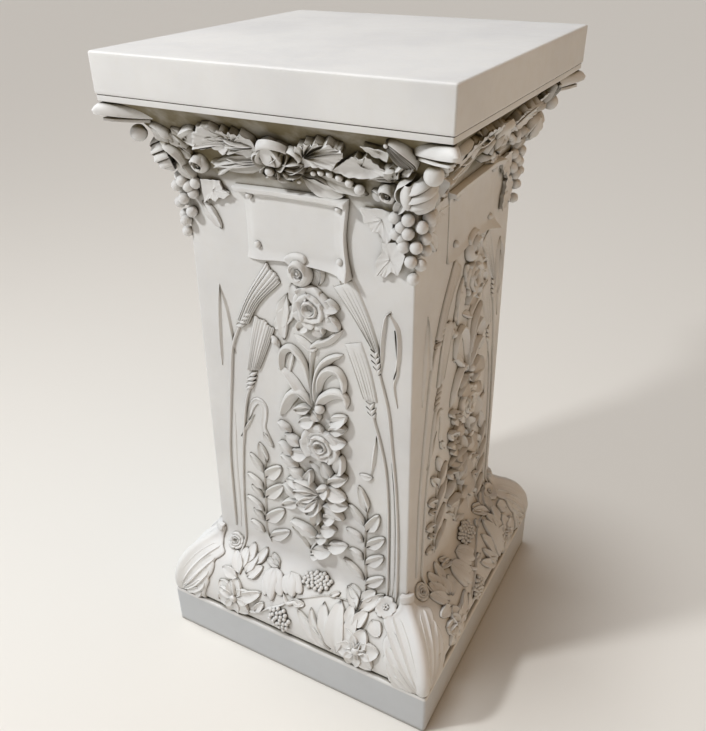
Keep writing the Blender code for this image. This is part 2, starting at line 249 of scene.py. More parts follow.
class Relief:
    """Grids of points for one face, with how far each stands out in millimetres."""

    def __init__(self):
        self.points = []
        self.proud = []
        self.quads = []
        self.count = 0
        self.on_corner = False
        self.under = UNDER

    def add(self, points, proud, closed=False):
        """A grid of points in metres, its columns running across and its rows up."""
        rows, columns = points.shape[:2]
        row, column = np.meshgrid(np.arange(rows - 1), np.arange(columns - 1 + closed), indexing="ij")
        after = (column + 1) % columns
        low = self.count + row * columns
        quads = np.stack([low + column, low + after, low + columns + after, low + columns + column], axis=-1)
        self.points.append(points.reshape(-1, 3))
        self.proud.append(np.broadcast_to(proud, (rows, columns)).reshape(-1))
        self.quads.append(quads.reshape(-1, 4))
        self.count += rows * columns

    def grid(self, spots, closed=False):
        """A grid of places on the drawing."""
        spots = np.array(spots, float)
        if self.on_corner:
            spots[..., 0] += SURFACE.edge(spots[..., 1])
        self.add(SURFACE.place(spots), spots[..., 2], closed)

    def patch(self, spots):
        """A grid with rounded edges and skirts all round."""
        self.grid(with_lip(with_lip(spots, 1, self.under), 0, self.under))

    def stand(self, across, up):
        """A place on the surface in metres, and the ways to the side, up and out from it."""
        if self.on_corner:
            across = across + float(SURFACE.edge(np.array(up, float)))
        spots = np.array([(across, up, 0), (across, up, 5), (across - 1, up, 0), (across + 1, up, 0)], float)
        here, outer, left, right = SURFACE.place(spots)
        out = (outer - here) / np.linalg.norm(outer - here)
        side = (right - left) / np.linalg.norm(right - left)
        return here, side, np.cross(out, side), out

    def local(self, stand, x, y, z, proud, closed=False):
        """A grid given in millimetres to the side, up and out from a stand."""
        here, side, upward, out = stand
        x, y, z = np.broadcast_arrays(x, y, z)
        points = here + MM * (x[..., None] * side + y[..., None] * upward + z[..., None] * out)
        self.add(points, proud, closed)


# Cross-sections of strips: share of the half-width, share of the crest
ROUND = ((-1.0, 0.0), (-0.8, 0.6), (-0.4, 0.93), (0.0, 1.0), (0.4, 0.93), (0.8, 0.6), (1.0, 0.0))
RIDGE = ((-1.0, 0.1), (-0.5, 0.55), (0.0, 1.0), (0.5, 0.55), (1.0, 0.1))
RIMMED = ((-1.0, 0.55), (-0.75, 1.0), (-0.4, 0.6), (0.0, 0.42), (0.4, 0.5), (0.8, 0.8), (1.0, 0.5))
CRESTED = ((-1.0, 0.55), (-0.8, 0.95), (-0.45, 1.0), (-0.1, 0.7), (0.3, 0.45), (0.7, 0.35), (1.0, 0.2))
LEAF_ROWS = 10


def beside(spine, reach):
    """Places to the right of a line, at the distances given for each of its points."""
    ahead = np.gradient(spine[:, :2], axis=0)
    ahead /= np.maximum(np.linalg.norm(ahead, axis=1), 1e-9)[:, None]
    right = np.column_stack([ahead[:, 1], -ahead[:, 0]])
    return spine[:, None, :2] + right[:, None, :] * reach[..., None]


def ribbon(relief, points, wide, height, cross=ROUND, lean=1, step=3.0, ends=(0.25, 0.05)):
    """A raised strip; wide lists half-widths and height crests from its start to its end."""
    count = max(6, int(length_of(points) / step))
    spine = curve(points, count)
    part = np.linspace(0, 1, count)
    wide = np.interp(part, np.linspace(0, 1, len(wide)), wide)
    crest = np.interp(part, np.linspace(0, 1, len(height)), height)
    taper = ends[0] + (1 - ends[0]) * eased(part * count / 3)
    taper *= ends[1] + (1 - ends[1]) * eased((1 - part) * count / 3)
    across, share = np.array([(lean * across, share) for across, share in cross][::lean]).T
    flat = beside(spine, (wide * taper)[:, None] * across)
    relief.patch(np.dstack([flat, (crest * (0.4 + 0.6 * taper))[:, None] * share]))


def leaf(relief, base, tip, wide, height, bend=0.0, cup=0.5, roll=0.0, veins=0, fine=1.0, tilt=0.0):
    """A leaf with a creased middle. cup above 0 raises its rims, roll lifts one side, tilt the tip."""
    base, tip = np.array(base, float), np.array(tip, float)
    run = tip - base
    middle = (base + tip) / 2 + bend * np.array([run[1], -run[0]])
    count = int(LEAF_ROWS * fine)
    part = np.linspace(0, 1, count)
    shape = np.minimum(1.0, 2.5 * part ** 0.75) * np.sqrt(np.clip(np.sin(np.pi * part ** 0.85), 0, 1))
    shape *= 1 - 0.25 * part
    sides = wide if isinstance(wide, tuple) else (wide, wide)
    across = np.linspace(-1, 1, 9)
    reach = across * np.where(across < 0, sides[0], sides[1])
    flat = beside(quadratic(base, middle, tip, count), shape[:, None] * reach)
    u, v = across[None, :], part[:, None]
    lift = 0.35 + 0.65 * np.sin(np.pi * np.clip(v * 0.85 + 0.08, 0, 1)) + tilt * v
    form = 1 + cup * (u ** 2 - 0.4) + roll * u - 0.3 * bell(u, 0, 0.16) * (1 - v)
    if veins:
        form = form + 0.13 * np.sin(2 * np.pi * (veins * (v - 0.4 * np.abs(u)))) * np.abs(u) ** 0.5
    relief.patch(np.dstack([flat, height * lift * form]))


def turned(relief, centre, rim, levels, radius=1.0, height=1.0, sides=14, squash=1.0):
    """A turned form: its rim at the foot, then (radius, height) levels in shares of the two sizes."""
    angle = np.linspace(0, 2 * np.pi, sides, endpoint=False)
    levels = np.array([(rim, 0.0), *levels]) * (radius, height)
    levels[0, 1] = relief.under
    reach, high = levels[:, :1], levels[:, 1:]
    x = centre[0] + squash * reach * np.cos(angle)
    y = centre[1] + reach * np.sin(angle)
    relief.grid(np.dstack([x, y, high + 0 * angle]), closed=True)


def ball(relief, centre, radius, height, sides=12):
    """A berry with its middle at the height above the surface."""
    tilt = np.radians(np.linspace(-60, 90, max(6, sides // 2)))[:, None]
    angle = np.linspace(0, 2 * np.pi, sides, endpoint=False)[None, :]
    across = radius * np.cos(tilt)
    high = height + radius * np.sin(tilt) + 0 * angle
    relief.local(relief.stand(*centre), across * np.cos(angle), across * np.sin(angle), high, high, True)


# A curled petal's section: distance out from its rim, and the share of the fall down to its edge
CURL = ((1.15, 1.0), (0.95, 0.45), (0.5, 0.08), (0.0, 0.0), (-0.5, 0.1), (-1.2, 0.55), (-2.0, 1.0))


def crescent(relief, centre, radius, start, sweep, thick, crest, depth, foot, squash=1.0):
    """A curled petal seen from above: a rim that follows an arc and falls away on both sides."""
    part = np.linspace(0, 1, 9)
    swell = np.sin(np.pi * part)
    angle = start + sweep * part
    rows = []
    for out, drop in CURL:
        around = radius * (0.93 + 0.09 * swell) + out * thick * (0.2 + 0.8 * swell)
        around = np.maximum(around, 0.0)
        fall = (crest - foot) if out > 0 else depth
        height = crest - drop * fall - (1 - swell) * 0.22 * crest
        rows.append(np.column_stack([
            centre[0] + squash * around * np.cos(angle),
            centre[1] + around * np.sin(angle),
            height,
        ]))
    relief.grid(with_lip(np.array(rows), 1, relief.under))


def petal(relief, centre, angle, inner, outer, wide, heights, curl=0.35, notch=0.0, wave=0.0):
    """A broad rounded petal from inner to outer, with a rolled rim that may wave."""
    part = np.linspace(0, 1, 9)[:, None]
    across = np.linspace(-1, 1, 9)[None, :]
    reach = inner + (outer - inner) * (part - notch * part ** 3 * bell(across, 0, 0.3))
    reach = reach - 0.18 * (outer - inner) * part * across ** 2
    spread = wide * np.sqrt(np.clip(1 - ((part - 0.62) / 0.72) ** 2, 0.05, 1)) * across
    ahead = np.array([math.cos(angle), math.sin(angle)])
    side = np.array([ahead[1], -ahead[0]])
    x = centre[0] + ahead[0] * reach + side[0] * spread
    y = centre[1] + ahead[1] * reach + side[1] * spread
    low, high = heights
    rise = low + (high - low) * eased(part * 1.05) + (high - low) * 0.35 * np.abs(across) ** 2 * part
    rise = rise - curl * high * eased((part - 0.82) / 0.18)
    rise = rise + wave * high * part ** 2 * np.sin(4.5 * across + 7 * angle)
    relief.patch(np.dstack([x, y, rise * np.ones_like(x)]))


# An open rose in shares of its radius and height: its body, its heart, and its two rounds of petals
# as inner and outer ends, half-width, and heights at both ends
ROSE_BODY = ((0.75, 0.3), (0.5, 0.5), (0.34, 0.6), (0.28, 0.25), (0.0, 0.15))
ROSE_ROUNDS = ((0.35, 1.1, 0.6, 0.25, 0.62), (0.25, 0.74, 0.5, 0.45, 0.86))
ROSE_PETALS = 5


def rose(relief, centre, radius, height, turn=0.0):
    """An open rose: two rounds of waved petals about a cupped heart."""
    x, y = centre
    turned(relief, centre, 0.8, ROSE_BODY, radius, height)
    for layer, (inner, outer, wide, low, high) in enumerate(ROSE_ROUNDS):
        for number in range(ROSE_PETALS):
            angle = turn + 2 * math.pi * (number + 0.5 * layer) / ROSE_PETALS
            angle += 0.15 * math.sin(5 * number + turn)
            reach = outer * radius * (1 + 0.09 * math.sin(1.9 * number + turn))
            lift = height * (1 + 0.1 * math.sin(2.7 * number + turn + layer))
            petal(relief, centre, angle, inner * radius, reach, wide * radius,
                  (low * height, high * lift), wave=0.1)
    for number in range(3):
        crescent(relief, centre, 0.38 * radius, turn + 2.1 * number, 2.9, 0.09 * radius,
                 height * (1.02 - 0.05 * number), 0.75 * height, 0.45 * height)
    crescent(relief, (x - 0.05 * radius, y - 0.08 * radius), 0.24 * radius, turn + 2.6, 2.6, 0.1 * radius,
             0.78 * height, 0.5 * height, 0.3 * height)


BUD_BODY = ((1.0, 0.3), (0.93, 0.62), (0.74, 0.86), (0.5, 0.9), (0.3, 0.5), (0.0, 0.45))


def spiral_bud(relief, centre, radius, height, turn):
    """A half-open bud: a round body, a hood over its top and a small curl in its hollow."""
    x, y = centre
    turned(relief, centre, 0.96, BUD_BODY, radius, height, sides=22)
    crescent(relief, (x, y + 0.14 * radius), 0.72 * radius, turn - 0.5, 3.3, 0.2 * radius, height * 1.3,
             0.55 * height, 0.5 * height, 0.9)
    crescent(relief, (x - 0.05 * radius, y + 0.08 * radius), 0.3 * radius, turn - 2.4, 4.6, 0.07 * radius,
             height * 0.98, 0.5 * height, 0.45 * height, 0.85)
    ball(relief, (x - 0.04 * radius, y + 0.05 * radius), 0.13 * radius, 0.72 * height, 10)
    for number, away in enumerate((0.45, 0.7)):
        crescent(relief, centre, away * radius, turn - 2.9 + 0.5 * number, 1.7, 0.07 * radius,
                 height * (1.04 - 0.16 * number), 0.12 * height, 0.8 * height)


def star_flower(relief, centre, radius, petals, height, turn):
    """A flower of pointed, cupped petals round a small heart."""
    for number in range(petals):
        angle = turn + 2 * math.pi * number / petals
        reach = radius * (1 + 0.12 * math.sin(3.1 * number + turn))
        tip = (centre[0] + reach * math.cos(angle), centre[1] + reach * math.sin(angle))
        leaf(relief, centre, tip, 0.42 * radius, height, cup=0.7, bend=0.06 * math.sin(5 * number), tilt=0.1)
    ball(relief, centre, 0.2 * radius, height * 0.7, 10)


def round_flower(relief, centre, radius, petals, height, turn):
    """A small flower of rounded petals round a button."""
    for number in range(petals):
        petal(relief, centre, turn + 2 * math.pi * number / petals, 0.2 * radius, radius,
              0.46 * radius, (0.35 * height, height), curl=0.3, notch=0.15)
    away = 0.17 * radius
    for angle in turn + 1.257 * np.arange(5):
        place = (centre[0] + away * math.cos(angle), centre[1] + away * math.sin(angle))
        ball(relief, place, 0.12 * radius, 0.6 * height, 8)


def outlined(relief, middle, outline, height, tips, rim, vein):
    """A leaf of the given outline, counter-clockwise, its edge lifted, with a vein to each of its tips."""
    steps = 4
    outline, middle = np.array(outline, float), np.array(middle, float)
    after = np.roll(outline, -1, axis=0)
    share = np.linspace(0, 1, steps, endpoint=False)[None, :, None]
    edge = (outline[:, None] + (after - outline)[:, None] * share).reshape(-1, 2)
    count = len(edge)
    ridge = np.zeros(count)
    for tip in tips:
        gap = np.abs((np.arange(count) - steps * tip + count / 2) % count - count / 2)
        ridge += bell(gap, 0, 1.4)
    rows = []
    for part in (1.0, 0.93, 0.8, 0.62, 0.42, 0.22, 0.02):
        frill = 0.1 * part ** 2 * np.sin(2.2 * np.arange(count))
        high = height * (0.7 + frill + rim * part ** 2 + vein * ridge * (1 - 0.7 * part ** 2))
        rows.append(np.column_stack([middle + (edge - middle) * part, high]))
    out = (edge - middle) / np.linalg.norm(edge - middle, axis=1)[:, None]
    crest = rows[0][:, 2]
    lip = np.column_stack([edge + RIM * out, crest - RIM])
    back = np.column_stack([edge - 2.5 * out, crest - 2.2])
    foot = np.column_stack([back[:, :2], np.full(count, relief.under)])
    relief.grid(np.array([foot, back, lip, *rows]), closed=True)


def fingers(relief, root, tips, wide, height):
    """The long rounded lobes of a cut leaf, from one root out to their tips."""
    root = np.array(root, float)
    for number, tip in enumerate(tips):
        tip = np.array(tip, float)
        run = tip - root
        sag = 0.06 * (number - 0.5 * (len(tips) - 1)) * np.array([run[1], -run[0]])
        points = [root, root + 0.35 * run + sag, root + 0.7 * run + sag, tip]
        ribbon(relief, points, [0.5 * wide, 0.8 * wide, wide, 0.7 * wide],
               [0.7 * height, 0.9 * height, height, 0.85 * height], CRESTED,
               lean=1 if number % 2 else -1, step=2.6, ends=(0.4, 0.35))


PLAQUE_TOP = ((-70, 677), (-30, 679), (4, 680), (40, 681), (69, 681))
PLAQUE_BOTTOM = ((-61, 595), (-37, 597), (-13, 600), (23, 600), (48, 598.5), (70, 595))
PLAQUE_LEFT = ((-61, 595), (-60.5, 634), (-62, 658), (-70, 677))
PLAQUE_RIGHT = ((70, 595), (65, 618), (63.5, 645), (69, 681))
PINS = ((-52, 668), (58, 670), (-46, 613), (58, 612))


def plaque_flat(u, v):
    """Places of the plate between its four edges, for shares from its left and from its foot."""
    column, row = (np.rint(share * 100).astype(int) for share in (u, v))
    top, bottom = (curve(side, 101)[column][None] for side in (PLAQUE_TOP, PLAQUE_BOTTOM))
    left, right = (curve(side, 101)[row][:, None] for side in (PLAQUE_LEFT, PLAQUE_RIGHT))
    u, v = u[None, :, None], v[:, None, None]
    flat = (1 - v) * bottom + v * top + (1 - u) * left + u * right
    flat = flat - (1 - v) * ((1 - u) * bottom[:, :1] + u * bottom[:, -1:])
    return flat - v * ((1 - u) * top[:, :1] + u * top[:, -1:])


def plaque(relief):
    """A blank plate held by four pins, its top edge turned over and its right corners curled."""
    u = np.concatenate([np.linspace(0, 0.1, 6), np.linspace(0.14, 0.86, 16), np.linspace(0.88, 1, 9)])
    v = np.concatenate([np.linspace(0, 0.14, 8), np.linspace(0.18, 0.84, 14), np.linspace(0.87, 1, 11)])
    flat = plaque_flat(u, v)
    u, v = u[None, :], v[:, None]
    high = 3.4 + 0.3 * np.sin(7 * u) * np.sin(5 * v)
    high = high + 5.4 * eased((v - 0.9) / 0.035)
    high = high + 3.4 * np.clip((u - 0.84) / 0.16, 0, 1) ** 1.6 * (0.8 + 2.4 * (v - 0.5) ** 2)
    high = high - 2.2 * eased((0.1 - u) / 0.1) * (1 - eased((v - 0.84) / 0.1))
    high = high + 3.4 * np.clip((0.12 - v) / 0.12, 0, 1) ** 1.5 * (0.8 + 0.2 * eased((u - 0.5) / 0.5))
    high = high + 5.0 * bell(u, 1.0, 0.1) * bell(v, 0.0, 0.12)
    for across, up in PINS:
        away = np.hypot(flat[..., 0] - across, flat[..., 1] - up)
        high = high - 2.2 * bell(away, 0, 6.0)
        wrinkle = bell(flat[..., 1] - up - 4, 0, 1.8) * bell(flat[..., 0] - across, 10 * np.sign(-across), 9)
        high = high + 1.5 * wrinkle
    relief.patch(np.dstack([flat, high]))
    for pin in PINS:
        ball(relief, pin, 4.0, 4.0, 16)


GRAIN_STEP = 7.0


def brush(relief, foot, edges, awns, height):
    """The awns of an ear as one ridged fan with a ragged cut end."""
    rows, columns = 16, 4 * awns + 1
    v = np.linspace(0, 1, rows)[:, None, None]
    share = np.linspace(0, 1, columns)[None, :]
    left, right = (curve(edge, rows)[:, None] for edge in edges)
    flat = left + (right - left) * share[..., None]
    uneven = share + 0.045 * np.sin(8.0 * share + foot[0])
    groove = 0.55 + 0.45 * np.abs(np.sin(np.pi * awns * uneven)) ** 0.7
    rag = 1.5 * np.sin(5.0 * np.floor(share * awns * 0.999) + foot[0])
    way = flat[-1:] - flat[-2:-1]
    way = way / np.linalg.norm(way, axis=-1, keepdims=True)
    flat = flat + way * (rag[..., None] * (v ** 6))
    v = v[..., 0]
    high = height * groove * (1.0 - 0.2 * v) * (0.9 + 0.25 * np.sin(np.pi * share) ** 0.5)
    relief.patch(np.dstack([flat, high]))


def strands(relief, edges, awns, height):
    """Awns that stand apart on a low fan, from the neck of an ear out to their ends."""
    brush(relief, edges[0][0], edges, 2, 0.62 * height)
    left, right = (curve(edge, 3) for edge in edges)
    for number in range(awns):
        points = left + (right - left) * number / (awns - 1)
        points[-1] += 2.5 * math.sin(4.0 * number) * (points[-1] - points[-2]) / 40
        wide = 1.3 + 0.35 * math.sin(3.0 * number)
        ribbon(relief, points, [1.6, wide, 1.1 * wide], [height, 0.8 * height, 0.6 * height], RIDGE,
               step=5.0, ends=(0.6, 0.5))


def wheat(relief, stem, foot, neck, edges, awns, height, way):
    """An ear of wheat: stem, grains from foot to neck, and awns. way is the side the grains lean to."""
    ribbon(relief, stem, [1.9, 1.7, 2.1], [3.2, 2.8, 3.4], step=8.0, ends=(0.6, 0.9))
    if way:
        brush(relief, foot, edges, awns, height)
    else:
        strands(relief, edges, awns, height)
    foot, neck = np.array(foot, float), np.array(neck, float)
    axis = (neck - foot) / np.linalg.norm(neck - foot)
    side = np.array([axis[1], -axis[0]])
    grains = int(np.linalg.norm(neck - foot) / GRAIN_STEP)
    for number in range(grains):
        middle = foot + axis * (2.0 + GRAIN_STEP * number)
        swell = 0.7 + 0.4 * math.sin(math.pi * (number + 0.5) / grains)
        for turn in ((way,) if way else (-1, 1)):
            start = middle - side * turn * (5.5 if way else 0.3) * swell - axis * 5.5
            end = middle + side * turn * 6.0 * swell + axis * 7.0
            ribbon(relief, [start, middle + side * turn * 0.5, end], [1.8, 3.1, 1.7],
                   [height * 1.0, height * 1.35, height * 0.95], step=2.2, ends=(0.3, 0.15))


# Each ear's stem, foot and neck of its grains, edges of its awns, their number, height and lean
EARS = (
    ([(-120, 178), (-119, 260), (-117, 312), (-111, 366), (-103, 427), (-98, 464), (-92, 484), (-84, 501)],
     (-82, 503), (-65, 528), [[(-84, 512), (-66, 549), (-38, 592)], [(-70, 509), (-52, 540), (-21, 572)]],
     6, 4.4, 1),
    ([(-104, 128), (-103, 200), (-100, 262), (-95, 319), (-91, 346), (-87, 374), (-81, 403), (-76, 417)],
     (-76, 418), (-66, 450), [[(-76, 445), (-68, 487), (-59, 522)], [(-59, 450), (-44, 484), (-33, 511)]],
     8, 3.6, 1),
    ([(133, 156), (132, 259), (127, 340), (121, 394), (116, 439), (110, 465), (104, 486)],
     (102.5, 487), (98, 515), [[(93, 519), (70, 552), (47, 581)], [(105, 508), (92, 548), (71, 593)]],
     6, 2.5, 0),
    ([(120, 160), (119, 276), (115, 348), (108, 388), (99, 420), (96, 430)],
     (96, 425), (92, 450), [[(84, 450), (73, 482), (61, 513)], [(101, 450), (92, 487), (81, 519)]],
     6, 2.2, 0),
)
# Blades of grass: points, half-widths and heights
BLADES = (
    ([(-116, 440), (-113, 502), (-108, 551)], [1.8, 2.4, 1.2], [2.2, 3.0, 2.2]),
    ([(-108, 549), (-100, 520), (-95, 478), (-93, 462)], [1.4, 2.0, 1.6], [2.4, 2.8, 2.0]),
    ([(106, 492), (107, 532), (111, 560), (116, 566)], [2.0, 2.6, 2.0], [3.2, 3.8, 3.6]),
    ([(114, 564), (125, 545), (126, 510), (121, 486)], [2.4, 3.0, 2.0], [3.8, 3.8, 2.8]),
    ([(121, 545), (126, 500), (122, 478), (127, 450)], [1.2, 1.6, 1.2], [2.6, 2.6, 2.0]),
    ([(-97, 338), (-91, 349), (-80, 367), (-72, 379)], [1.6, 2.2, 1.6], [2.8, 3.2, 2.6]),
    ([(101, 404), (99, 380), (95, 345)], [2.2, 3.0, 2.6], [2.4, 3.4, 3.2]),
)
FOLDED_BLADE = [(-82, 368), (-75, 391), (-66, 402), (-57, 397), (-57, 381), (-59, 363), (-48, 345)]
SHEATHS = ([(-112, 178), (-110, 290), (-103, 372)], [(126, 160), (125, 280), (121, 372)])


def wheat_and_blades(relief):
    for ear in EARS:
        wheat(relief, *ear)
    for blade in BLADES:
        ribbon(relief, *blade, RIDGE, step=6.0, ends=(0.1, 0.1))
    ribbon(relief, FOLDED_BLADE, [1.5, 4.0, 5.0, 3.6, 2.6], [1.6, 2.4, 2.0, 1.8, 3.0], RIMMED, step=4.0)
    leaf(relief, (-60, 356), (-46, 338), 4.0, 3.2, cup=0.6)
    leaf(relief, (97, 342), (79, 341), (6.0, 2.0), 2.8, cup=0.5)
    for points in SHEATHS:
        ribbon(relief, points, [3.4, 3.4, 1.5], [1.0, 1.0, 0.6], step=12.0)


# Curling petals of the tulip and the stalks by the first rose: points, half-widths, heights, lean
HOOKS = (
    ([(-6, 510), (6, 505), (19, 498), (26, 504)], [2, 4, 4, 2], [3, 5, 6, 3], -1),
    ([(14, 494), (26, 505), (42, 514), (58, 531)], [3, 4.5, 4, 2], [4, 6, 5.5, 4], 1),
    ([(13, 440), (8, 468), (-1, 484), (-12, 491), (-22, 483), (-25, 466), (-24, 452)],
     [2, 3.5, 5, 5.5, 4.5, 3.5, 2], [4, 6, 7, 8, 7, 6, 3], -1),
    ([(12, 424), (1, 436), (-10, 449), (-21, 458), (-30, 458)], [2.5, 5, 6, 5, 2], [6, 8, 8, 6, 4], 1),
    ([(15, 419), (5, 431), (-6, 432), (-18, 417), (-31, 391)], [2.5, 5.5, 7, 6, 2], [6, 9, 9, 7, 4], -1),
    ([(21, 424), (22, 450), (31, 477), (43, 491), (58, 500)], [2.5, 3.6, 5, 4.5, 2], [5, 6, 8, 8, 6], 1),
    ([(25, 438), (29, 460), (39, 474), (51, 476), (58, 464), (57, 446)],
     [2.5, 4, 5.5, 5.5, 4.5, 2.5], [5, 7, 8.5, 9, 8, 5], 1),
    ([(22, 421), (34, 437), (48, 446), (60, 444), (62, 429)], [3, 6, 6.5, 5.5, 2], [6, 9, 9, 8, 5], 1),
)
# Stalks of the spray: points, half-widths and heights
STALKS = (
    ([(19, 500), (16, 480), (14, 450), (15, 418)], [4.5, 3, 2.8, 3], [4.5, 3.6, 3.4, 4]),
    ([(8, 334), (20, 327), (30, 316), (33, 304)], [2.2, 2.6, 2.4, 2.0], [5, 6, 5.5, 4]),
    ([(4, 188), (-8, 202), (-24, 214)], [2.6, 2.0, 1.2], [5, 4, 3]),
    ([(16, 240), (20, 220), (12, 200), (4, 184), (12, 178)], [2.4, 2.4, 2.2, 2.0, 1.6], [6, 5, 5, 4, 3]),
)
# Leaves of the first rose: base, tip, half-width
ROSE_LEAVES = (
    ((34, 560), (55, 555), 8), ((36, 545), (56, 531), 8), ((16, 532), (2, 519), 8), ((26, 530), (34, 519), 8),
    ((6, 560), (14, 571), 9),
)
# Leaves down the spray: base, tip, half-width, roll
SPRAY_LEAVES = (
    ((14, 417), (-9, 408), 6.5, 0.2), ((20, 402), (-3, 392), 8, -0.2), ((17, 414), (27, 404), 5.5, 0.1),
    ((40, 404), (63, 419), 8, 0.4), ((38, 392), (63, 403), 7.5, -0.2), ((38, 378), (62, 381), 7, 0.3),
    ((-16, 373), (-34, 383), 5.5, 0.3), ((-2, 356), (-25, 368), 8, 0.3), ((-14, 336), (-34, 353), 7.5, 0.4),
    ((8, 346), (-18, 343), 8, -0.3), ((-8, 322), (-33, 333), 6.5, 0.2), ((40, 318), (28, 343), 7.5, 0.2),
    ((48, 330), (56, 361), 8.5, 0.4), ((36, 312), (63, 331), 8.5, -0.3), ((2, 307), (-24, 318), 8, 0.3),
    ((2, 296), (11, 324), 7.5, 0.3), ((4, 298), (-26, 297), 6.5, -0.3), ((-8, 270), (-32, 287), 7.5, 0.3),
    ((-8, 266), (-36, 250), 8, 0.2), ((33, 304), (61, 297), 9, 0.4), ((34, 284), (64, 286), 8.5, 0.3),
    ((26, 274), (58, 262), 9, -0.3), ((20, 262), (15, 236), 7.5, 0.2), ((26, 252), (46, 262), 8.5, 0.3),
    ((22, 232), (46, 240), 8.5, 0.3), ((32, 208), (62, 219), 7.5, 0.4), ((14, 212), (33, 222), 6.5, 0.2),
    ((8, 190), (38, 199), 8.5, 0.4), ((5, 178), (22, 189), 4.5, 0.3),
)


def spray_head(relief):
    """The bud over the spray, and the first rose with its leaves."""
    spiral_bud(relief, (7, 589), 15.5, 11, 0.4)
    petal(relief, (6, 592), 1.75, 6, 20, 13, (7, 8.5))
    stub = [(22, 600), (33, 597), (33, 588), (29, 578)]
    ribbon(relief, stub, [2.0, 3.0, 2.5], [6, 6.5, 3.5], RIMMED, step=2.5)
    rose(relief, (19, 549), 23, 10.5, turn=0.4)
    for base, tip, wide in ROSE_LEAVES:
        leaf(relief, base, tip, wide, 6.0, cup=0.7, tilt=0.2)
    leaf(relief, (-3, 548), (-33, 511), (7, 12), 3.6, bend=-0.1, cup=0.3, veins=5, fine=1.6)
    leaf(relief, (2, 546), (-6, 573), 9, 4.0, bend=0.1, cup=0.5, veins=4, fine=1.4)
    leaf(relief, (-12, 560), (-20, 500), 9, 4.2, bend=0.12, cup=0.2, veins=5, fine=1.4)
    ball(relief, (-32, 495), 5.0, 1.6)
    leaf(relief, (-26, 488), (-38, 502), 4.5, 3.4, cup=-0.4)


def flower_spray(relief):
    """The upright spray in the middle of a face."""
    spray_head(relief)
    for points, wide, height, lean in HOOKS:
        ribbon(relief, points, wide, height, CRESTED, lean=lean, step=2.4, ends=(0.35, 0.15))
    for stalk in STALKS:
        ribbon(relief, *stalk, RIDGE)
    ribbon(relief, [(-8, 488), (-14, 470), (-17, 452)], [3, 4, 1.5], [4, 3, 1.5], RIMMED, step=2.5)
    ball(relief, (27, 420), 6.5, 3.5)
    for base, tip, wide, roll in SPRAY_LEAVES:
        leaf(relief, base, tip, wide, 6.8, cup=0.55, roll=roll, tilt=0.15, bend=0.08 * roll)
    rose(relief, (27, 366), 20, 10.5, turn=0.9)
    for angle, reach in ((1.9, 30), (2.7, 27), (3.5, 30), (0.6, 29), (-0.5, 27)):
        petal(relief, (26, 366), angle, 12, reach, 12, (4, 7.5))
    opening_flower(relief)
    leaf(relief, (18, 217), (-22, 229), (11, 8), 7.5, cup=0.5, roll=0.3, veins=3, fine=1.4, tilt=0.2)


def opening_flower(relief):
    """The fourth flower, seen from its side: long petals opening down to the left."""
    turned(relief, (10, 276), 17, ((16, 4), (11, 8), (0, 9)), squash=1.1)
    for base, tip, wide, high, bend in (
        ((20, 292), (-14, 300), 9, 10, 0.1), ((22, 290), (-15, 283), 10, 11, 0.0),
        ((22, 286), (-9, 264), 11, 12, -0.05), ((24, 284), (4, 254), 9, 11, -0.1),
        ((22, 292), (36, 306), 9, 9, 0.1),
    ):
        leaf(relief, base, tip, wide, high, bend=bend, cup=0.45, tilt=0.25, fine=1.3)
    for radius, start, sweep, crest in ((13, 2.5, 2.6, 11), (9, 2.2, 3.2, 13), (5, 2.0, 4.0, 14)):
        crescent(relief, (4, 274), radius, start, sweep, 2.2, crest, 4.5, 5)


# Each sprig's stem, and its leaves as base, tip, half-width and roll
SPRIGS = (
    ([(-60, 172), (-67, 197), (-65, 236), (-64, 272), (-62, 300), (-56, 318)], (
        ((-58, 310), (-68, 338), 6.0, -0.2), ((-63, 290), (-84, 316), 5.5, 0.3),
        ((-65, 262), (-91, 281), 6.5, 0.3), ((-68, 224), (-95, 241), 6.5, 0.3),
        ((-70, 186), (-92, 199), 6.5, 0.3), ((-62, 284), (-36, 311), 9.5, -0.3),
        ((-64, 250), (-34, 283), 9.0, -0.3), ((-66, 208), (-35, 241), 9.5, -0.3),
        ((-62, 180), (-28, 206), 8.5, -0.3), ((-67, 248), (-86, 262), 4.0, 0.2),
        ((-68, 208), (-86, 222), 4.0, 0.2),
    )),
    ([(90, 118), (89, 167), (86, 215), (88, 263), (90, 292)], (
        ((90, 286), (78, 323), 6.5, 0.2), ((87, 262), (65, 289), 6.0, 0.3), ((85, 236), (60, 248), 7.0, 0.4),
        ((85, 206), (65, 216), 7.0, 0.4), ((86, 170), (56, 195), 6.5, 0.4), ((88, 128), (64, 152), 7.5, 0.3),
        ((89, 254), (106, 288), 8.0, -0.3), ((89, 228), (114, 255), 8.0, -0.3),
        ((88, 198), (113, 224), 8.5, -0.3), ((88, 162), (114, 188), 8.0, -0.3),
        ((91, 128), (116, 160), 8.5, -0.3),
    )),
)


def sprigs(relief):
    for stem, leaves in SPRIGS:
        ribbon(relief, stem, [1.3, 1.5, 1.2], [2.4, 2.8, 2.2], RIDGE, step=5.0)
        for base, tip, wide, roll in leaves:
            leaf(relief, base, tip, wide, 3.4, cup=0.9, roll=roll, bend=0.05, tilt=0.1, fine=1.1)


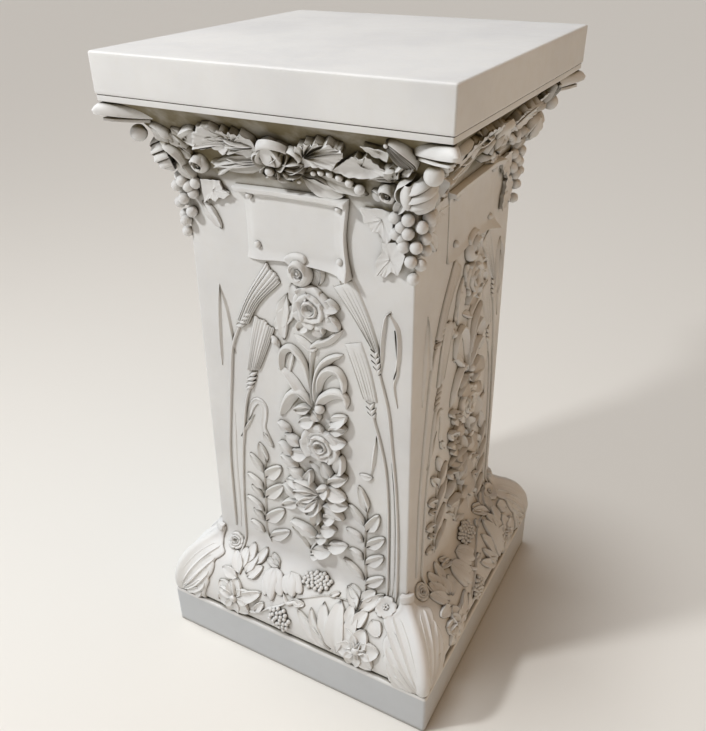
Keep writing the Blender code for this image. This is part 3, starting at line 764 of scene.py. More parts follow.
# Cut leaves of the swag: middle, outline counter-clockwise, height, which places are tips, rim, veins
SWAG_LEAVES = (
    ((-48, 738), (
        (-20, 726), (-19, 746), (-29, 758), (-33, 751), (-41, 760), (-46, 753), (-54, 761), (-59, 755),
        (-68, 763), (-79, 761), (-85, 752), (-93, 748), (-98, 737), (-105, 722), (-90, 723), (-78, 728),
        (-66, 720), (-52, 726), (-36, 721),
    ), 9.5, (2, 4, 6, 8, 10, 12, 13, 16), 0.3, 0.25),
    ((36, 735), (
        (22, 715), (36, 722), (48, 722), (64, 723), (70, 732), (82, 744), (84, 755), (77, 757), (73, 764),
        (66, 758), (59, 763), (53, 756), (45, 759), (41, 752), (33, 752), (26, 738),
    ), 11.0, (3, 5, 6, 8, 10, 12, 14), 0.25, 0.35),
    ((96, 729), (
        (62, 720), (80, 714), (100, 716), (119, 724), (121, 730), (113, 739), (107, 749), (99, 742),
        (93, 746), (85, 740), (75, 731),
    ), 9.0, (3, 6, 8, 9), 0.35, 0.15),
    ((120, 752), ((111, 747), (125, 742), (131, 756), (118, 759), (104, 761)), 6.5, (4, 1), 0.3, 0.3),
)
# Vine leaves beside the hanging grapes, given in the same way
VINE_LEAVES = (
    ((107, 667), (
        (88, 660), (93, 662), (95.5, 652), (103, 654), (112, 641), (117, 648), (119, 660), (118, 676),
        (105, 679), (94, 677), (84, 677),
    ), 6.4, (0, 2, 4, 10), 0.25, 0.14),
    ((116, 626), (
        (100, 605), (106, 608.5), (111, 605.5), (118, 614), (125.5, 611), (129, 620), (133, 633), (122, 645),
        (108, 642), (107, 631), (101, 622),
    ), 6.4, (0, 4, 8, 10), 0.25, 0.14),
    ((-100, 667), (
        (-114, 650), (-105, 657), (-98, 654), (-93, 660), (-86, 659), (-77, 666), (-86, 670), (-88, 680),
        (-100, 679), (-114, 678),
    ), 6.0, (2, 5, 7), 0.25, 0.14),
)
# Long lobes of the swag's leaves: root, tips, half-width and height
SWAG_FINGERS = (
    ((-22, 712), ((-74, 709), (-94, 701), (-93, 693), (-90, 686)), 5.0, 6.5),
    ((-26, 742), ((-86, 754), (-92, 745), (-95, 737), (-101, 728), (-104, 719)), 4.6, 9.5),
    ((-20, 736), ((-60, 745), (-62, 738), (-64, 729), (-66, 719)), 4.4, 12.5),
    ((130, 714), ((112, 722), (100, 716), (96, 708)), 5.0, 6.0),
)
SWAG_BEADS = ((38, 711, 3.2), (47, 713, 3.6), (57, 713, 4.0), (67, 710, 4.2), (77, 705, 4.6), (87, 699, 5.6))
# The folded leaf by the near corner: base, tip and bend of each fold
FOLDS = (((144, 731), (131, 768), 0.1), ((148, 731), (133, 770), 0.2), ((152, 733), (135, 771), 0.3))


def swag(relief):
    """Leaves and an open flower along the capital, with a bud and vine leaves at each end."""
    for outline in VINE_LEAVES:
        outlined(relief, *outline)
    leaf(relief, (-120, 650), (-96, 622), (8, 5), 4.2, cup=0.4, veins=3)
    relief.under = DEEP
    for outline in SWAG_LEAVES:
        outlined(relief, *outline)
    for lobes in SWAG_FINGERS:
        fingers(relief, *lobes)
    swag_ends(relief)
    swag_trail(relief)
    centre_flower(relief)
    relief.under = UNDER


def swag_ends(relief):
    """Small leaves and half-open buds where the swag meets the corner bunches."""
    leaf(relief, (-118, 728), (-94, 748), (9, 13), 8, cup=0.5, fine=1.2)
    leaf(relief, (-134, 722), (-117, 703), (8, 12), 6, cup=0.5, veins=2)
    leaf(relief, (-128, 742), (-112, 720), 9, 5, cup=0.3)
    leaf(relief, (-18, 710), (-92, 698), 12, 3.6, cup=0.1)
    leaf(relief, (112, 690), (98, 697), 5, 6, cup=0.5)
    spiral_bud(relief, (117, 698), 11, 12, 0.4)
    spiral_bud(relief, (-110, 697), 11, 11, 0.4)
    for base, tip, bend in FOLDS:
        leaf(relief, base, tip, 3.8, 9, cup=0.35, bend=bend, fine=1.5, tilt=0.1)
        leaf(relief, base, tip, 1.3, 10.5, cup=-0.4, bend=bend, fine=1.4)
    ball(relief, (133, 770), 2.2, 7, 10)
    ribbon(relief, [(112, 727), (122, 728.5), (134, 729)], [2.6, 3, 2.6], [10, 11, 10], step=2.5)


def swag_trail(relief):
    """The leaves and the row of berries that trail from the middle flower to the right."""
    leaf(relief, (20, 700), (66, 686), (9, 10), 5.5, cup=0.4, veins=3, fine=1.5, bend=0.1)
    leaf(relief, (34, 704), (92, 690), (9, 8), 4.5, cup=0.3, veins=3, fine=1.5)
    ribbon(relief, [(22, 702), (36, 704), (46, 700), (54, 690)], [1.5, 2, 1.5], [6.5, 7, 5.5], RIDGE)
    for across, up, size in SWAG_BEADS:
        ball(relief, (across, up), size, 7.0)


def centre_flower(relief):
    """The open flower in the middle of the swag, its cup turned up and to the left."""
    turned(relief, (2, 722), 23, ((21, 3), (14, 6), (0, 6)))
    for base, tip, wide in (((2, 716), (32, 722), 7), ((0, 714), (27, 709), 7), ((-2, 712), (13, 698), 7),
                            ((-6, 712), (-4, 697), 6), ((-10, 714), (-22, 701), 6)):
        leaf(relief, base, tip, wide, 12, cup=0.6, fine=1.2, tilt=0.1)
        leaf(relief, base, tip, 0.4 * wide, 12.5, cup=-0.3, fine=0.9)
    crescent(relief, (1, 727), 21, 0.6, 2.3, 4.6, 15.5, 6, 8)
    petal(relief, (-9, 746), -1.15, 1, 31, 11, (13, 16.5), curl=0.2)
    crescent(relief, (-17, 722), 10, 1.3, 3.4, 2.2, 14, 8, 5)
    crescent(relief, (20, 731), 9, -1.2, 3.2, 2.6, 13.5, 7, 5)
    leaf(relief, (-9, 712), (-4, 744), 12, 13.5, cup=0.65, bend=-0.08, fine=1.5)
    leaf(relief, (-8, 712), (16, 738), 8, 13.5, cup=0.6, bend=0.1, fine=1.4)
    leaf(relief, (-10, 712), (-22, 732), 7, 12.5, cup=0.6, bend=-0.1, fine=1.2)
    ball(relief, (-10, 710), 5.2, 13, 16)
    ball(relief, (18, 697), 2.6, 7, 10)


# The hanging grapes, from the corner's edge: across, up and height
GRAPES = (
    (-24.5, 672, 5), (-9, 674, 9), (1, 667, 11), (9, 674, 9), (24, 672, 5), (-22, 655, 6), (-8, 659, 9),
    (6, 652, 9), (18, 660, 6), (-16, 664, 7), (15, 668, 8), (-12.5, 643.5, 8), (-2, 645, 11), (12, 637, 6),
    (-5.5, 629, 8), (3, 625, 7.5), (-3, 610, 6), (-16, 651, 5),
)
GRAPE_RADIUS = 6.6
# Profiles of the two leaves that flare from the corner under the slab: half-width and level
UPPER_LIP = ((172, 752), (188, 748.5), (201, 747.5), (205, 750), (204, 754.5), (198, 759.5), (184, 761))
LOWER_LIP = ((172, 744), (186, 742), (196, 741), (199, 742.5), (196, 744.5), (186, 746), (172, 748))


def corner_bunch(relief):
    """The hanging cluster on a corner of the capital: lips, ball, rosebud and grapes."""
    relief.on_corner = True
    lip_leaf(relief, UPPER_LIP, 28, 5.0)
    lip_leaf(relief, LOWER_LIP, 24, 3.0)
    relief.under = DEEP
    ball(relief, (-1, 737), 9.4, 13, 20)
    hanging_bud(relief, (-3, 705))
    for way in (-1, 1):
        stalk = [(way * 14, 724), (way * 22, 716), (way * 22, 702), (way * 15, 688)]
        ribbon(relief, stalk, [2, 4, 4, 2.5], [16, 17, 14, 9], CRESTED, lean=way, step=2.4, ends=(0.35, 0.15))
        leaf(relief, (way * 14, 700), (way * 24, 676), 7, 9, cup=0.5)
        leaf(relief, (way * 30, 722), (way * 22, 746), 8, 9, cup=0.5, veins=2)
        leaf(relief, (way * 34, 712), (way * 38, 736), 8, 7, cup=0.5, veins=2)
    relief.under = UNDER
    for across, up, height in GRAPES:
        ball(relief, (across, up), GRAPE_RADIUS, height, 14)
    relief.on_corner = False


def lip_leaf(relief, profile, wide, droop):
    """A leaf that flares out round the corner, from (half-width, level) places, its ends drooping."""
    profile = curve(profile, 16)[:, :, None]
    across = np.linspace(-1, 1, 21)[None, :]
    inner = profile[0, 0]
    half = inner + (profile[:, 0] - inner) * (1 - 0.97 * np.abs(across) ** 2.6) ** 0.8
    level = profile[:, 1] - droop * across ** 2
    along = half - 1000 * CORNER_INSET + 1000 * CORNER_MID_RADIUS * math.pi / 4
    along = along + across * wide * (0.8 + 0.2 * (profile[:, 0] - inner) / 25)
    relief.add(SURFACE.wrap(along * MM, half * MM, 0 * half, level * MM), 12.0)


def hanging_bud(relief, centre):
    """A rosebud that hangs head down, its petals lapping over each other in slanting tiers."""
    stand = relief.stand(*centre)
    wide, tall, deep, seat = 14.0, 21.0, 14.0, 6.0
    around = np.radians(np.linspace(-105, 105, 31))[None, :]
    slant = 7.0 * np.sin(around) - 3.0 * np.sin(around) ** 2
    steps = np.array([0.1, 0.0, -0.05, 0.0, 0.12, 0.35, 0.7, 1.0, 1.3])[:, None]
    proud = np.array([-4.0, -1.6, 1.0, 2.6, 3.2, 2.4, 1.0, -0.8, -3.0])[:, None]
    for tier in range(-3, 2):
        up = np.clip(9.5 * (tier + steps) + 2.0 + slant, -0.985 * tall, 0.97 * tall)
        girth = np.sqrt(1 - (up / tall) ** 2)
        reach = wide * girth + proud * np.sqrt(girth)
        relief.local(stand, reach * np.sin(around), up,
                     seat + (deep * girth + proud * np.sqrt(girth)) * np.cos(around), 16.0)
    up = np.linspace(-15, 13, 15)[:, None]
    taper = np.sqrt(np.clip(1 - ((up + 1) / 15) ** 2, 0.02, 1))
    across = np.linspace(-1, 1, 9)[None, :]
    around = np.radians(-66 + 30 * across * taper)
    girth = np.sqrt(1 - (up / tall) ** 2)
    swell = 5.2 - 8.0 * across ** 6 - 1.5 * across
    relief.local(stand, (wide * girth + swell) * np.sin(around), up,
                 seat + (deep * girth + swell) * np.cos(around), 16.0)


def bead_bunch(relief, centre, reach, beads, lean):
    """A small bunch of berries, filled in rings with a slight lean."""
    for number in range(beads):
        angle = 2.4 * number
        away = math.sqrt((number + 0.4) / beads)
        across = centre[0] + reach[0] * away * math.cos(angle) + lean * away * math.sin(angle)
        up = centre[1] + reach[1] * away * math.sin(angle)
        ball(relief, (across, up), 3.1, 2.6 + 1.8 * (1 - away), 9)


# Leaves at the garland's left end: base, tip, half-width
LEFT_LEAVES = (
    ((-92, 112), (-112, 140), 9), ((-92, 118), (-98, 150), 9), ((-84, 116), (-78, 148), 9),
    ((-80, 112), (-62, 133), 8), ((-94, 106), (-122, 112), 8), ((-86, 128), (-88, 160), 8),
    ((-74, 130), (-66, 160), 7),
)
GARLAND_VINE = ((-92, 55), (-76, 62), (-57, 67), (-38, 82), (-19, 94), (-1, 110), (14, 117), (45, 131),
                (70, 134), (92, 135))


def cushion_garland(relief):
    """The garland over the cushion: flowers, leaves, bunches and the vine between them."""
    garland_left(relief)
    drooping_bells(relief)
    bead_bunch(relief, (22, 143), (21, 13), 34, 3)
    ribbon(relief, [(-6, 118), (2, 126), (8, 136)], [1.5, 2.0, 1.4], [3, 3.5, 2.5], RIDGE)
    bead_bunch(relief, (-18, 75), (17, 17), 26, -3)
    ribbon(relief, GARLAND_VINE, [1.8, 1.6, 1.4, 1.3], [3.0, 2.8, 2.5, 2.2], RIDGE, step=4.0)
    for base, tip, wide in (((-60, 68), (-46, 88), 6), ((46, 131), (58, 140), 4), ((-4, 106), (16, 108), 5)):
        leaf(relief, base, tip, wide, 3.2, cup=0.6)
    garland_right(relief)


def garland_left(relief):
    rose(relief, (-118, 152), 11, 6, turn=0.5)
    for base, tip, wide in LEFT_LEAVES:
        leaf(relief, base, tip, wide, 3.6, cup=0.5, roll=0.2, veins=2, fine=1.2)
    star_flower(relief, (-95, 76), 31, 6, 3.8, turn=0.45)
    leaf(relief, (-92, 80), (-53, 100), (7, 10), 4.4, cup=0.6, bend=0.08, veins=2, fine=1.2)
    for angle in (1.9, 2.8):
        tip = (-95 + 26 * math.cos(angle), 76 + 26 * math.sin(angle))
        leaf(relief, (-95, 78), tip, 7, 6.5, cup=0.6)


def garland_right(relief):
    leaf(relief, (68, 62), (42, 122), 11, 4.2, bend=-0.1, cup=0.2)
    leaf(relief, (75, 62), (89, 127), 12, 4.2, bend=0.1, cup=0.2)
    leaf(relief, (72, 60), (64, 132), 15, 5.8, bend=-0.03, cup=0.15)
    leaf(relief, (62, 60), (8, 99), (7, 10), 4.4, cup=0.6, bend=-0.1, veins=4, fine=1.6)
    leaf(relief, (58, 62), (26, 108), (6, 7), 4.8, cup=0.6, bend=-0.12, veins=3, fine=1.5)
    star_flower(relief, (101, 79), 32, 6, 4.2, turn=0.3)
    for angle in (0.3, 1.2, 2.2, 3.3, 5.0):
        tip = (101 + 14 * math.cos(angle), 79 + 14 * math.sin(angle))
        leaf(relief, (101, 79), tip, 3.2, 6.0, cup=0.5)
    leaf(relief, (90, 106), (103, 132), 9, 3.8, cup=0.6, veins=2, fine=1.2)
    leaf(relief, (84, 104), (80, 132), 8, 3.4, cup=0.5, veins=2, fine=1.2)
    round_flower(relief, (124, 145), 15, 5, 4.6, turn=0.3)
    leaf(relief, (112, 124), (128, 108), 10, 3.6, cup=0.5)
    leaf(relief, (88, 140), (104, 160), 8, 3.6, cup=0.6)
    leaf(relief, (86, 140), (68, 156), 8, 3.6, cup=0.6)


# The two bells: base, and the tips of their petals
BELLS = (((-45, 140), ((-46, 99), (-20, 107), (-34, 96))), ((-20, 141), ((-14, 112), (7, 120), (-3, 112))))


def drooping_bells(relief):
    """Two flowers of rounded petals hanging side by side, with a leaf above them."""
    for base, tips in BELLS:
        for number, tip in enumerate(tips):
            leaf(relief, base, tip, 9.5, 4.2 + 1.0 * (number == 2), cup=-0.25, bend=0.04, fine=1.5, tilt=0.25)
    stalk = [(-20, 112), (-10, 101), (0, 106), (8, 104), (12, 112)]
    ribbon(relief, stalk, [2, 3, 3, 2], [4, 4.5, 4.5, 3], step=2.5)
    leaf(relief, (-38, 140), (-62, 146), 6, 4.2, cup=0.7, veins=2)
    leaf(relief, (-40, 141), (-56, 156), 5, 4.0, cup=0.6)


# The corner shell: its half-width for heights on the drawing, and the tips of its lobes
SHELL_EDGE = (
    (48, 50), (60, 54), (72, 57), (83, 59), (90, 56), (98, 57), (108, 53), (116, 46), (123, 48), (131, 46),
    (138, 33), (147, 21), (155, 14), (166, 10),
)
SHELL_FOOT = 46
SHELL_LOBES = ((27, 142), (42, 124), (51, 103), (54, 83), (50, 65))


def corner_shell(relief):
    """The shell down the cushion's corner: long rounded lobes that fan out from its foot."""
    relief.on_corner = True
    relief.under = DEEP
    up = np.linspace(48, 166, 60)[:, None]
    reach = np.interp(up, *curve(SHELL_EDGE, 120).T)
    across = np.linspace(-1, 1, 41)[None, :] * reach
    away = np.abs(across)
    high = 2.6 + 3.6 * bell(away, 0, 11) + 0.9 * bell(reach - away, 3.2, 2.6)
    relief.patch(np.dstack([across, up + 0 * across, high]))
    for number, (away, level) in enumerate(SHELL_LOBES):
        high = 4.8 + 0.5 * number
        for way in (-1, 1):
            middle = (way * (0.62 * away + 2), SHELL_FOOT + 0.45 * (level - SHELL_FOOT))
            ribbon(relief, [(way * 6, 47), middle, (way * away, level)], [2.0, 5.0, 7.5, 9.0, 8.0],
                   [3.4, high, high, 0.9 * high], RIMMED, lean=-way, step=2.6, ends=(0.6, 0.2))
    across, up = np.meshgrid((-9, -4.5, 0, 4.5, 9), (160, 166, 171))
    relief.patch(np.dstack([across, up, np.full(across.shape, 7.5)]))
    relief.on_corner = False
    relief.under = UNDER


def carved_relief():
    relief = Relief()
    for draw in (plaque, wheat_and_blades, flower_spray, sprigs, swag, corner_bunch, cushion_garland,
                 corner_shell):
        draw(relief)
    return relief


def smooth_mesh(name, points, faces, proud=0.0, sharp=50):
    """A smooth-shaded mesh that keeps how far each point stands out, as a share of PROUD_FULL."""
    mesh = bpy.data.meshes.new(name)
    mesh.from_pydata(points.tolist(), [], faces)
    share = np.clip(proud / PROUD_FULL, 0.0, 1.0) * np.ones(len(points))
    mesh.attributes.new("proud", "FLOAT", "POINT").data.foreach_set("value", share.astype(np.float32))
    work = bmesh.new()
    work.from_mesh(mesh)
    bmesh.ops.remove_doubles(work, verts=work.verts, dist=0.02 * MM)
    bmesh.ops.dissolve_degenerate(work, dist=0.005 * MM, edges=work.edges)
    work.to_mesh(mesh)
    work.free()
    mesh.shade_smooth()
    mesh.set_sharp_from_angle(angle=math.radians(sharp))
    return mesh


def piece(name, mesh, material, slot, *nodes):
    """An object that rides on the body and stands for the named nodes."""
    item = bpy.data.objects.new(name, mesh)
    bpy.context.scene.collection.objects.link(item)
    mesh.materials.append(material)
    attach(item, "root")
    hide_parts(*nodes)


def carvings(material):
    """The relief, made once and turned to each of the four faces."""
    relief = carved_relief()
    points = np.vstack(relief.points)
    limit = CAD_BOX[1].x - 0.1 * MM
    points[:, :2] = np.clip(points[:, :2], -limit, limit)
    mesh = smooth_mesh("carving", points, np.vstack(relief.quads).tolist(), np.concatenate(relief.proud))
    for number, side in enumerate(("front", "right", "back", "left")):
        turned_mesh = mesh.copy()
        turned_mesh.transform(Matrix.Rotation(number * math.pi / 2, 4, "Z"))
        piece(f"carving_{side}", turned_mesh, material, "body_cast", "pedestal_body")


def wander(points, size, depth):
    """Slow unevenness of a hand-finished cast: a small push for each point, in metres."""
    x, y, z = points.T / size
    push = np.sin(2.1 * x + 1.3 * z + 0.4) + np.sin(1.7 * y - 2.3 * z + 1.9)
    return depth * (push + np.sin(2.9 * z + 1.1 * x - 0.7 * y)) / 3


def ring(half, level, radius):
    """A rounded square of points, counter-clockwise from the front's left end."""
    reach = half - min(radius, half)
    side = [(share * reach, -half) for share in np.linspace(-1, 1, RING_SIDE, endpoint=False)]
    for angle in np.linspace(0, math.pi / 2, RING_ARC, endpoint=False):
        side.append((reach + radius * math.sin(angle), -reach - radius * math.cos(angle)))
    points = []
    for corner in range(4):
        turn = Matrix.Rotation(corner * math.pi / 2, 3, "Z")
        points += [tuple(turn @ Vector((x, y, level))) for x, y in side]
    return points


def ringed_mesh(name, rings, depth):
    """Rings of (half-width, level, corner radius), closed at both ends and slightly uneven."""
    rows = [ring(*item) for item in rings]
    size = len(rows[0])
    points = np.array(rows).reshape(-1, 3)
    away = points * (1, 1, 0)
    away /= np.maximum(np.linalg.norm(away, axis=1), 1e-6)[:, None]
    points = points + away * wander(points, 0.06, depth)[:, None]
    faces = []
    for low in range(0, (len(rows) - 1) * size, size):
        for column in range(size):
            after = (column + 1) % size
            faces.append((low + column, low + after, low + size + after, low + size + column))
    faces.append(tuple(reversed(range(size))))
    faces.append(tuple(range((len(rows) - 1) * size, len(rows) * size)))
    return smooth_mesh(name, points, faces, sharp=35)


def rounded_edge(half, level, radius, corner, top, steps=4):
    """Rings round a horizontal edge, going up: out at the bottom, or in at the top."""
    made = []
    for angle in np.linspace(0, math.pi / 2, steps + 1):
        inward = 1 - (math.cos(angle) if top else math.sin(angle))
        up = math.sin(angle) - 1 if top else 1 - math.cos(angle)
        made.append((half - radius * inward, level + radius * up, corner))
    return made


def body_core(material):
    """The smooth body under the relief: plinth, cushion, shaft, capital and fillet."""
    half = PLINTH_WIDTH / 2 - 0.4 * MM
    rings = rounded_edge(half, 0.0, 0.0015, PLINTH_CORNER, False)
    rings += [(half, z, PLINTH_CORNER) for z in np.linspace(0.006, PLINTH_HEIGHT - 0.006, 8)]
    rings += rounded_edge(half, PLINTH_HEIGHT, 0.0028, PLINTH_CORNER, True)
    rings += [(half - 5.6 * MM, PLINTH_HEIGHT - 0.4 * MM, PLINTH_CORNER)]
    for reach, level in SURFACE.outline[:SURFACE.foot + 1]:
        rings.append((reach, level, np.interp(level, [0.065, 0.15, 0.172], [0.009, 0.006, 0.0025])))
    turn, above, *capital = SURFACE.outline[SURFACE.foot + 1:]
    rings += [(*(turn + share * (above - turn)), 0.0022) for share in np.linspace(0, 1, 34)]
    rings += [(reach, level, 0.002) for reach, level in capital]
    fillet = FILLET_WIDTH / 2
    rings += rounded_edge(fillet, capital[-1][1], 0.0008, 0.0015, False)
    rings += rounded_edge(fillet, BODY_HIGH.z, 0.001, 0.0015, True)
    piece("body_core", ringed_mesh("body_core", rings, 0.25 * MM), material, "body_cast", "pedestal_body")


def cap_dress(material):
    """The plain slab with softly worn edges and slightly uneven sides."""
    half = CAP_HIGH.x - 0.3 * MM
    rings = [(share * half, CAP_LOW.z, 0.002) for share in (0.5, 0.9)]
    rings += rounded_edge(half, CAP_LOW.z, 0.0015, CAP_CORNER, False)
    rings += [(half, z, CAP_CORNER) for z in np.linspace(CAP_LOW.z + 0.004, CAP_HIGH.z - 0.005, 7)]
    rings += rounded_edge(half, CAP_HIGH.z, 0.0022, CAP_CORNER, True, 5)
    rings += [(share * half, CAP_HIGH.z, CAP_CORNER) for share in (0.96, 0.85, 0.65, 0.4, 0.15)]
    piece("cap_dress", ringed_mesh("cap_dress", rings, 0.22 * MM), material, "cap_cast", "cap_slab")


class Nodes:
    """The nodes of a material or a sky, added and linked by short calls."""

    def __init__(self, tree, space):
        self.tree = tree
        self.place = self.add("ShaderNodeTexCoord").outputs[space]

    def add(self, kind, **values):
        node = self.tree.nodes.new(kind)
        for name, value in values.items():
            setattr(node, name, value)
        return node

    def feed(self, value, socket):
        if isinstance(value, bpy.types.NodeSocket):
            self.tree.links.new(value, socket)
        else:
            socket.default_value = value

    def axis(self, name):
        split = self.add("ShaderNodeSeparateXYZ")
        self.feed(self.place, split.inputs[0])
        return split.outputs[name]

    def noise(self, scale, detail, rough=0.55):
        node = self.add("ShaderNodeTexNoise")
        self.feed(self.place, node.inputs["Vector"])
        for socket, number in (("Scale", scale), ("Detail", detail), ("Roughness", rough)):
            node.inputs[socket].default_value = number
        return node.outputs["Fac"]

    def ramp(self, value, low, high, start=0.0, end=1.0):
        node = self.add("ShaderNodeMapRange", interpolation_type="SMOOTHSTEP")
        self.feed(value, node.inputs["Value"])
        for socket, number in zip(("From Min", "From Max", "To Min", "To Max"), (low, high, start, end)):
            node.inputs[socket].default_value = number
        return node.outputs["Result"]

    def math(self, operation, first, *others):
        """The operation over all the values, from the first to the last."""
        for other in others:
            node = self.add("ShaderNodeMath", operation=operation)
            self.feed(first, node.inputs[0])
            self.feed(other, node.inputs[1])
            first = node.outputs[0]
        return first

    def mix(self, share, first, second):
        node = self.add("ShaderNodeMix", data_type="RGBA")
        self.feed(share, node.inputs["Factor"])
        self.feed(first, node.inputs["A"])
        self.feed(second, node.inputs["B"])
        return node.outputs["Result"]


# Colours of the cast: clean ivory and its two drifts, the wash that also paints shade in gaps, and painted
# shade on the plinth
IVORY_LIGHT = (0.755, 0.757, 0.747, 1)
IVORY_COOL = (0.69, 0.692, 0.69, 1)
IVORY_WARM = (0.69, 0.655, 0.58, 1)
# An olive-brown wash that the cast has in its hollows, here also painted as shade in gaps and in the cove
# under the fillet
WASH_AND_SHADE_COLOUR = (0.165, 0.135, 0.072, 1)
# Painted shade: the plinth is painted greyer and darker, standing in for the light falling off low down
PLINTH_PAINTED_SHADE = (0.505, 0.535, 0.565, 1)
PLINTH_PAINTED_SHADE_SHARE = 0.75
WARM_SHARE = 0.12

# Sizes of the gaps that hold the broad wash with its painted shade and the painted shade lines, in metres
BROAD_GAP = 0.013
FINE_GAP = 0.0035
# Levels between which the wash and its painted shade grow above the cushion and in the capital, and where
# they end under the fillet
ABOVE_CUSHION = (0.14, 0.21)
INTO_CAPITAL = (0.665, 0.70)
UNDER_FILLET = (0.7605, 0.7615)
# Near-black for painted shade lines in the fine gaps along the relief, with some deep wash
DEEP_LINE_SHADE_AND_WASH = (0.04, 0.032, 0.018, 1)


def shut_in(nodes, distance):
    """How shut in a place is, from 0 in the open to 1 in a deep gap of the given size."""
    gap = nodes.add("ShaderNodeAmbientOcclusion", samples=8)
    gap.inputs["Distance"].default_value = distance
    return nodes.math("SUBTRACT", 1.0, gap.outputs["AO"])


def washed_and_shaded(nodes, colour):
    """The colour under painted shade on the plinth, an olive-brown wash that also paints shade in gaps and in
    the cove under the fillet, and near-black painted shade lines; wash and shade thin out on proud crests.
    """
    level = nodes.axis("Z")
    # Painted shade: below the plinth's top edge the colour turns greyer and darker, for the light falling off
    # toward the floor
    painted_plinth_shade = nodes.ramp(level, PLINTH_HEIGHT - 0.0055, PLINTH_HEIGHT - 0.003, PLINTH_PAINTED_SHADE_SHARE, 0.0)
    colour = nodes.mix(painted_plinth_shade, colour, PLINTH_PAINTED_SHADE)
    proud = nodes.add("ShaderNodeAttribute", attribute_name="proud").outputs["Fac"]
    in_capital = nodes.ramp(level, *INTO_CAPITAL)
    zone = nodes.math("ADD", 0.5, nodes.math("MULTIPLY", nodes.ramp(level, *ABOVE_CUSHION), 0.2),
                      nodes.math("MULTIPLY", in_capital, 0.3))
    under_shelf = nodes.math("SUBTRACT", 1.0, nodes.ramp(level, *UNDER_FILLET))
    # Painted shade with the wash: the cove under the fillet is darkened where the relief lies low, where the
    # slab's shade falls
    cove_wash_and_shade = nodes.math("MULTIPLY", in_capital, under_shelf, nodes.ramp(proud, 0.0, 0.85, 1.0, 0.0))
    # The wash and painted shade thin out on proud crests: the wash wears off them and they catch the light
    crest_rub_and_light = nodes.math("MAXIMUM", nodes.ramp(proud, 0.06, 0.36, 1.25, 0.4), in_capital)
    # Painted shade with the wash: the broad film darkens with ambient occlusion in the gaps round the relief
    broad_wash_and_shade = nodes.math("MULTIPLY", nodes.ramp(shut_in(nodes, BROAD_GAP), 0.14, 0.6), zone, crest_rub_and_light)
    patchy = nodes.ramp(nodes.noise(28.0, 4.0), 0.25, 0.75, 0.7, 1.2)
    wash_and_shade_film = nodes.math("MULTIPLY", nodes.math("MAXIMUM", broad_wash_and_shade, cove_wash_and_shade), patchy)
    # Painted shade: near-black lines where ambient occlusion finds fine gaps at the relief's edges, deepened
    # by wash
    line_shade_and_wash = nodes.math("MULTIPLY", nodes.ramp(shut_in(nodes, FINE_GAP), 0.22, 0.65),
                      nodes.math("ADD", zone, 0.2), crest_rub_and_light)
    return nodes.mix(line_shade_and_wash, nodes.mix(wash_and_shade_film, colour, WASH_AND_SHADE_COLOUR), DEEP_LINE_SHADE_AND_WASH)


def cast_grain(nodes, shader):
    """Fine grain, pits and slow lumps, as a bump."""
    grain = nodes.noise(900.0, 2.0)
    pits = nodes.ramp(nodes.noise(240.0, 3.0, 0.6), 0.30, 0.42)
    lumps = nodes.noise(45.0, 3.0)
    bump = nodes.add("ShaderNodeBump")
    bump.inputs["Strength"].default_value = 0.35
    bump.inputs["Distance"].default_value = 0.6 * MM
    height = nodes.math("ADD", nodes.math("MULTIPLY", grain, 0.12), nodes.math("MULTIPLY", pits, 0.25),
                        nodes.math("MULTIPLY", lumps, 0.9))
    nodes.feed(height, bump.inputs["Height"])
    nodes.feed(bump.outputs["Normal"], shader.inputs["Normal"])


def antique_ivory(name, wash_and_shade, roughness):
    """Matte cast ivory, drifting between cool and light, with or without the wash and its painted shade."""
    material = bpy.data.materials.new(name)
    material.use_nodes = True
    shader = material.node_tree.nodes["Principled BSDF"]
    nodes = Nodes(material.node_tree, "Object")
    drift = nodes.ramp(nodes.noise(7.0, 3.0), 0.35, 0.68)
    mottle = nodes.ramp(nodes.noise(70.0, 5.0), 0.35, 0.75)
    colour = nodes.mix(drift, IVORY_COOL, IVORY_LIGHT)
    colour = nodes.mix(nodes.math("MULTIPLY", mottle, WARM_SHARE), colour, IVORY_WARM)
    if wash_and_shade:
        colour = washed_and_shaded(nodes, colour)
    nodes.feed(colour, shader.inputs["Base Color"])
    cast_grain(nodes, shader)
    nodes.feed(nodes.ramp(mottle, 0.0, 1.0, roughness - 0.06, roughness + 0.08), shader.inputs["Roughness"])
    shader.inputs["Specular IOR Level"].default_value = 0.4
    return material


def plain_floor():
    material = bpy.data.materials.new("pale_floor")
    material.use_nodes = True
    shader = material.node_tree.nodes["Principled BSDF"]
    shader.inputs["Base Color"].default_value = FLOOR_COLOUR
    shader.inputs["Roughness"].default_value = 0.9
    bpy.ops.mesh.primitive_plane_add(size=FLOOR_SIZE, location=(0, 0, 0))
    floor = bpy.context.object
    floor.name = "floor"
    floor.data.materials.append(material)


def light(name, kind, power, ahead, place=(0, 0, 0)):
    """A light of daylight colour that shines the given way."""
    lamp = bpy.data.lights.new(name, kind)
    lamp.energy = power
    lamp.color = DAYLIGHT
    item = bpy.data.objects.new(name, lamp)
    item.location = place
    item.rotation_euler = Vector(ahead).to_track_quat("-Z", "Y").to_euler()
    bpy.context.scene.collection.objects.link(item)
    return lamp


FLOOR_SIZE = 60
FLOOR_COLOUR = (0.76, 0.742, 0.70, 1)

# The sky: a cool and a warm side, with a paler backdrop low down, and the shares between which they change
WORLD_COOL = (0.22, 0.228, 0.24, 1)
WORLD_WARM = (0.44, 0.21, 0.025, 1)
WORLD_PALE = (0.55, 0.55, 0.55, 1)
WORLD_CREAM = (0.46, 0.38, 0.26, 1)
SIDE_CHANGE = (0.2, 0.85)
BACKDROP_TOP = (0.1, 0.2)

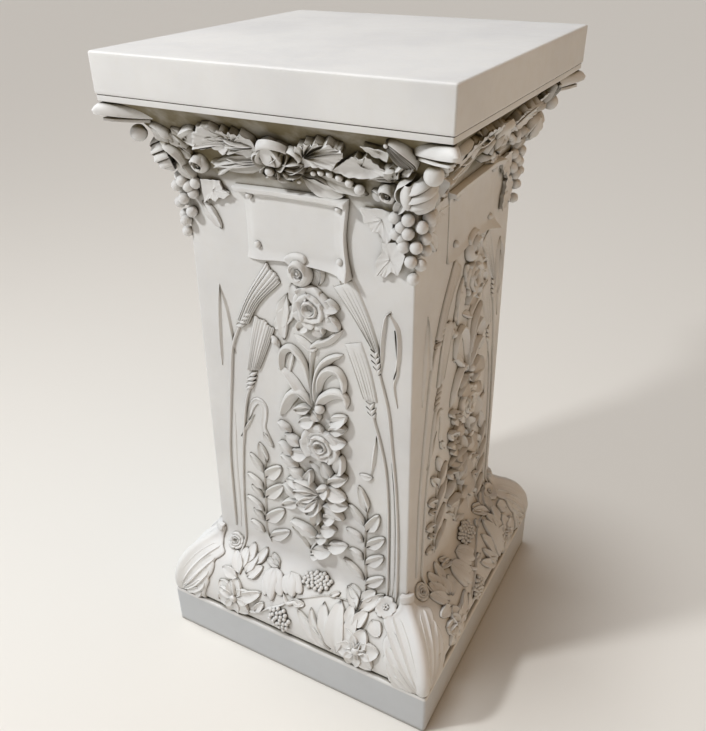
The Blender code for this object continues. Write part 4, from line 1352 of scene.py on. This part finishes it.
# The sun and the near light
DAYLIGHT = (0.985, 0.993, 1.0)
SUN_POWER = 1.5
SUN_SPREAD = math.radians(20)
SUN_WAY = (0.45, 0.15, -2.3)
KEY_POWER = 23
KEY_SIZE = 0.2
KEY_PLACE = Vector((-0.98, -1.15, 1.8))
KEY_TARGET = Vector((0, 0, 0.55))


def studio():
    """Soft daylight from the upper left, a warm dim room on the right and a pale backdrop low down."""
    world = bpy.data.worlds.new("studio")
    bpy.context.scene.world = world
    world.use_nodes = True
    nodes = Nodes(world.node_tree, "Generated")
    side = nodes.ramp(nodes.axis("X"), *SIDE_CHANGE)
    room = nodes.mix(side, WORLD_COOL, WORLD_WARM)
    backdrop = nodes.mix(side, WORLD_PALE, WORLD_CREAM)
    sky = nodes.mix(nodes.ramp(nodes.axis("Z"), *BACKDROP_TOP), backdrop, room)
    nodes.feed(sky, world.node_tree.nodes["Background"].inputs["Color"])
    light("daylight", "SUN", SUN_POWER, SUN_WAY).angle = SUN_SPREAD
    key = light("key", "AREA", KEY_POWER, KEY_TARGET - KEY_PLACE, KEY_PLACE)
    key.shape = "DISK"
    key.size = KEY_SIZE
    bpy.context.scene.view_settings.view_transform = "Standard"


def camera():
    eye = bpy.data.cameras.new("camera")
    eye.lens = CAMERA_LENS
    eye.sensor_width = SENSOR_WIDTH
    right = Vector((math.cos(CAMERA_AZIMUTH), math.sin(CAMERA_AZIMUTH), 0))
    ahead = Vector((-math.sin(CAMERA_AZIMUTH) * math.cos(CAMERA_DOWN),
                    math.cos(CAMERA_AZIMUTH) * math.cos(CAMERA_DOWN), -math.sin(CAMERA_DOWN)))
    up = right.cross(ahead)
    image_right = math.cos(CAMERA_ROLL) * right + math.sin(CAMERA_ROLL) * up
    image_up = -math.sin(CAMERA_ROLL) * right + math.cos(CAMERA_ROLL) * up
    item = bpy.data.objects.new("camera", eye)
    turn = Matrix((image_right, image_up, -ahead)).transposed()
    item.matrix_world = Matrix.Translation(CAMERA_PLACE) @ turn.to_4x4()
    bpy.context.scene.collection.objects.link(item)
    bpy.context.scene.camera = item


def main():
    body_finish = antique_ivory("antique_ivory_wash_and_painted_shade", True, 0.58)
    body_core(body_finish)
    carvings(body_finish)
    cap_dress(antique_ivory("antique_ivory_plain", False, 0.52))
    plain_floor()
    studio()
    camera()


main()
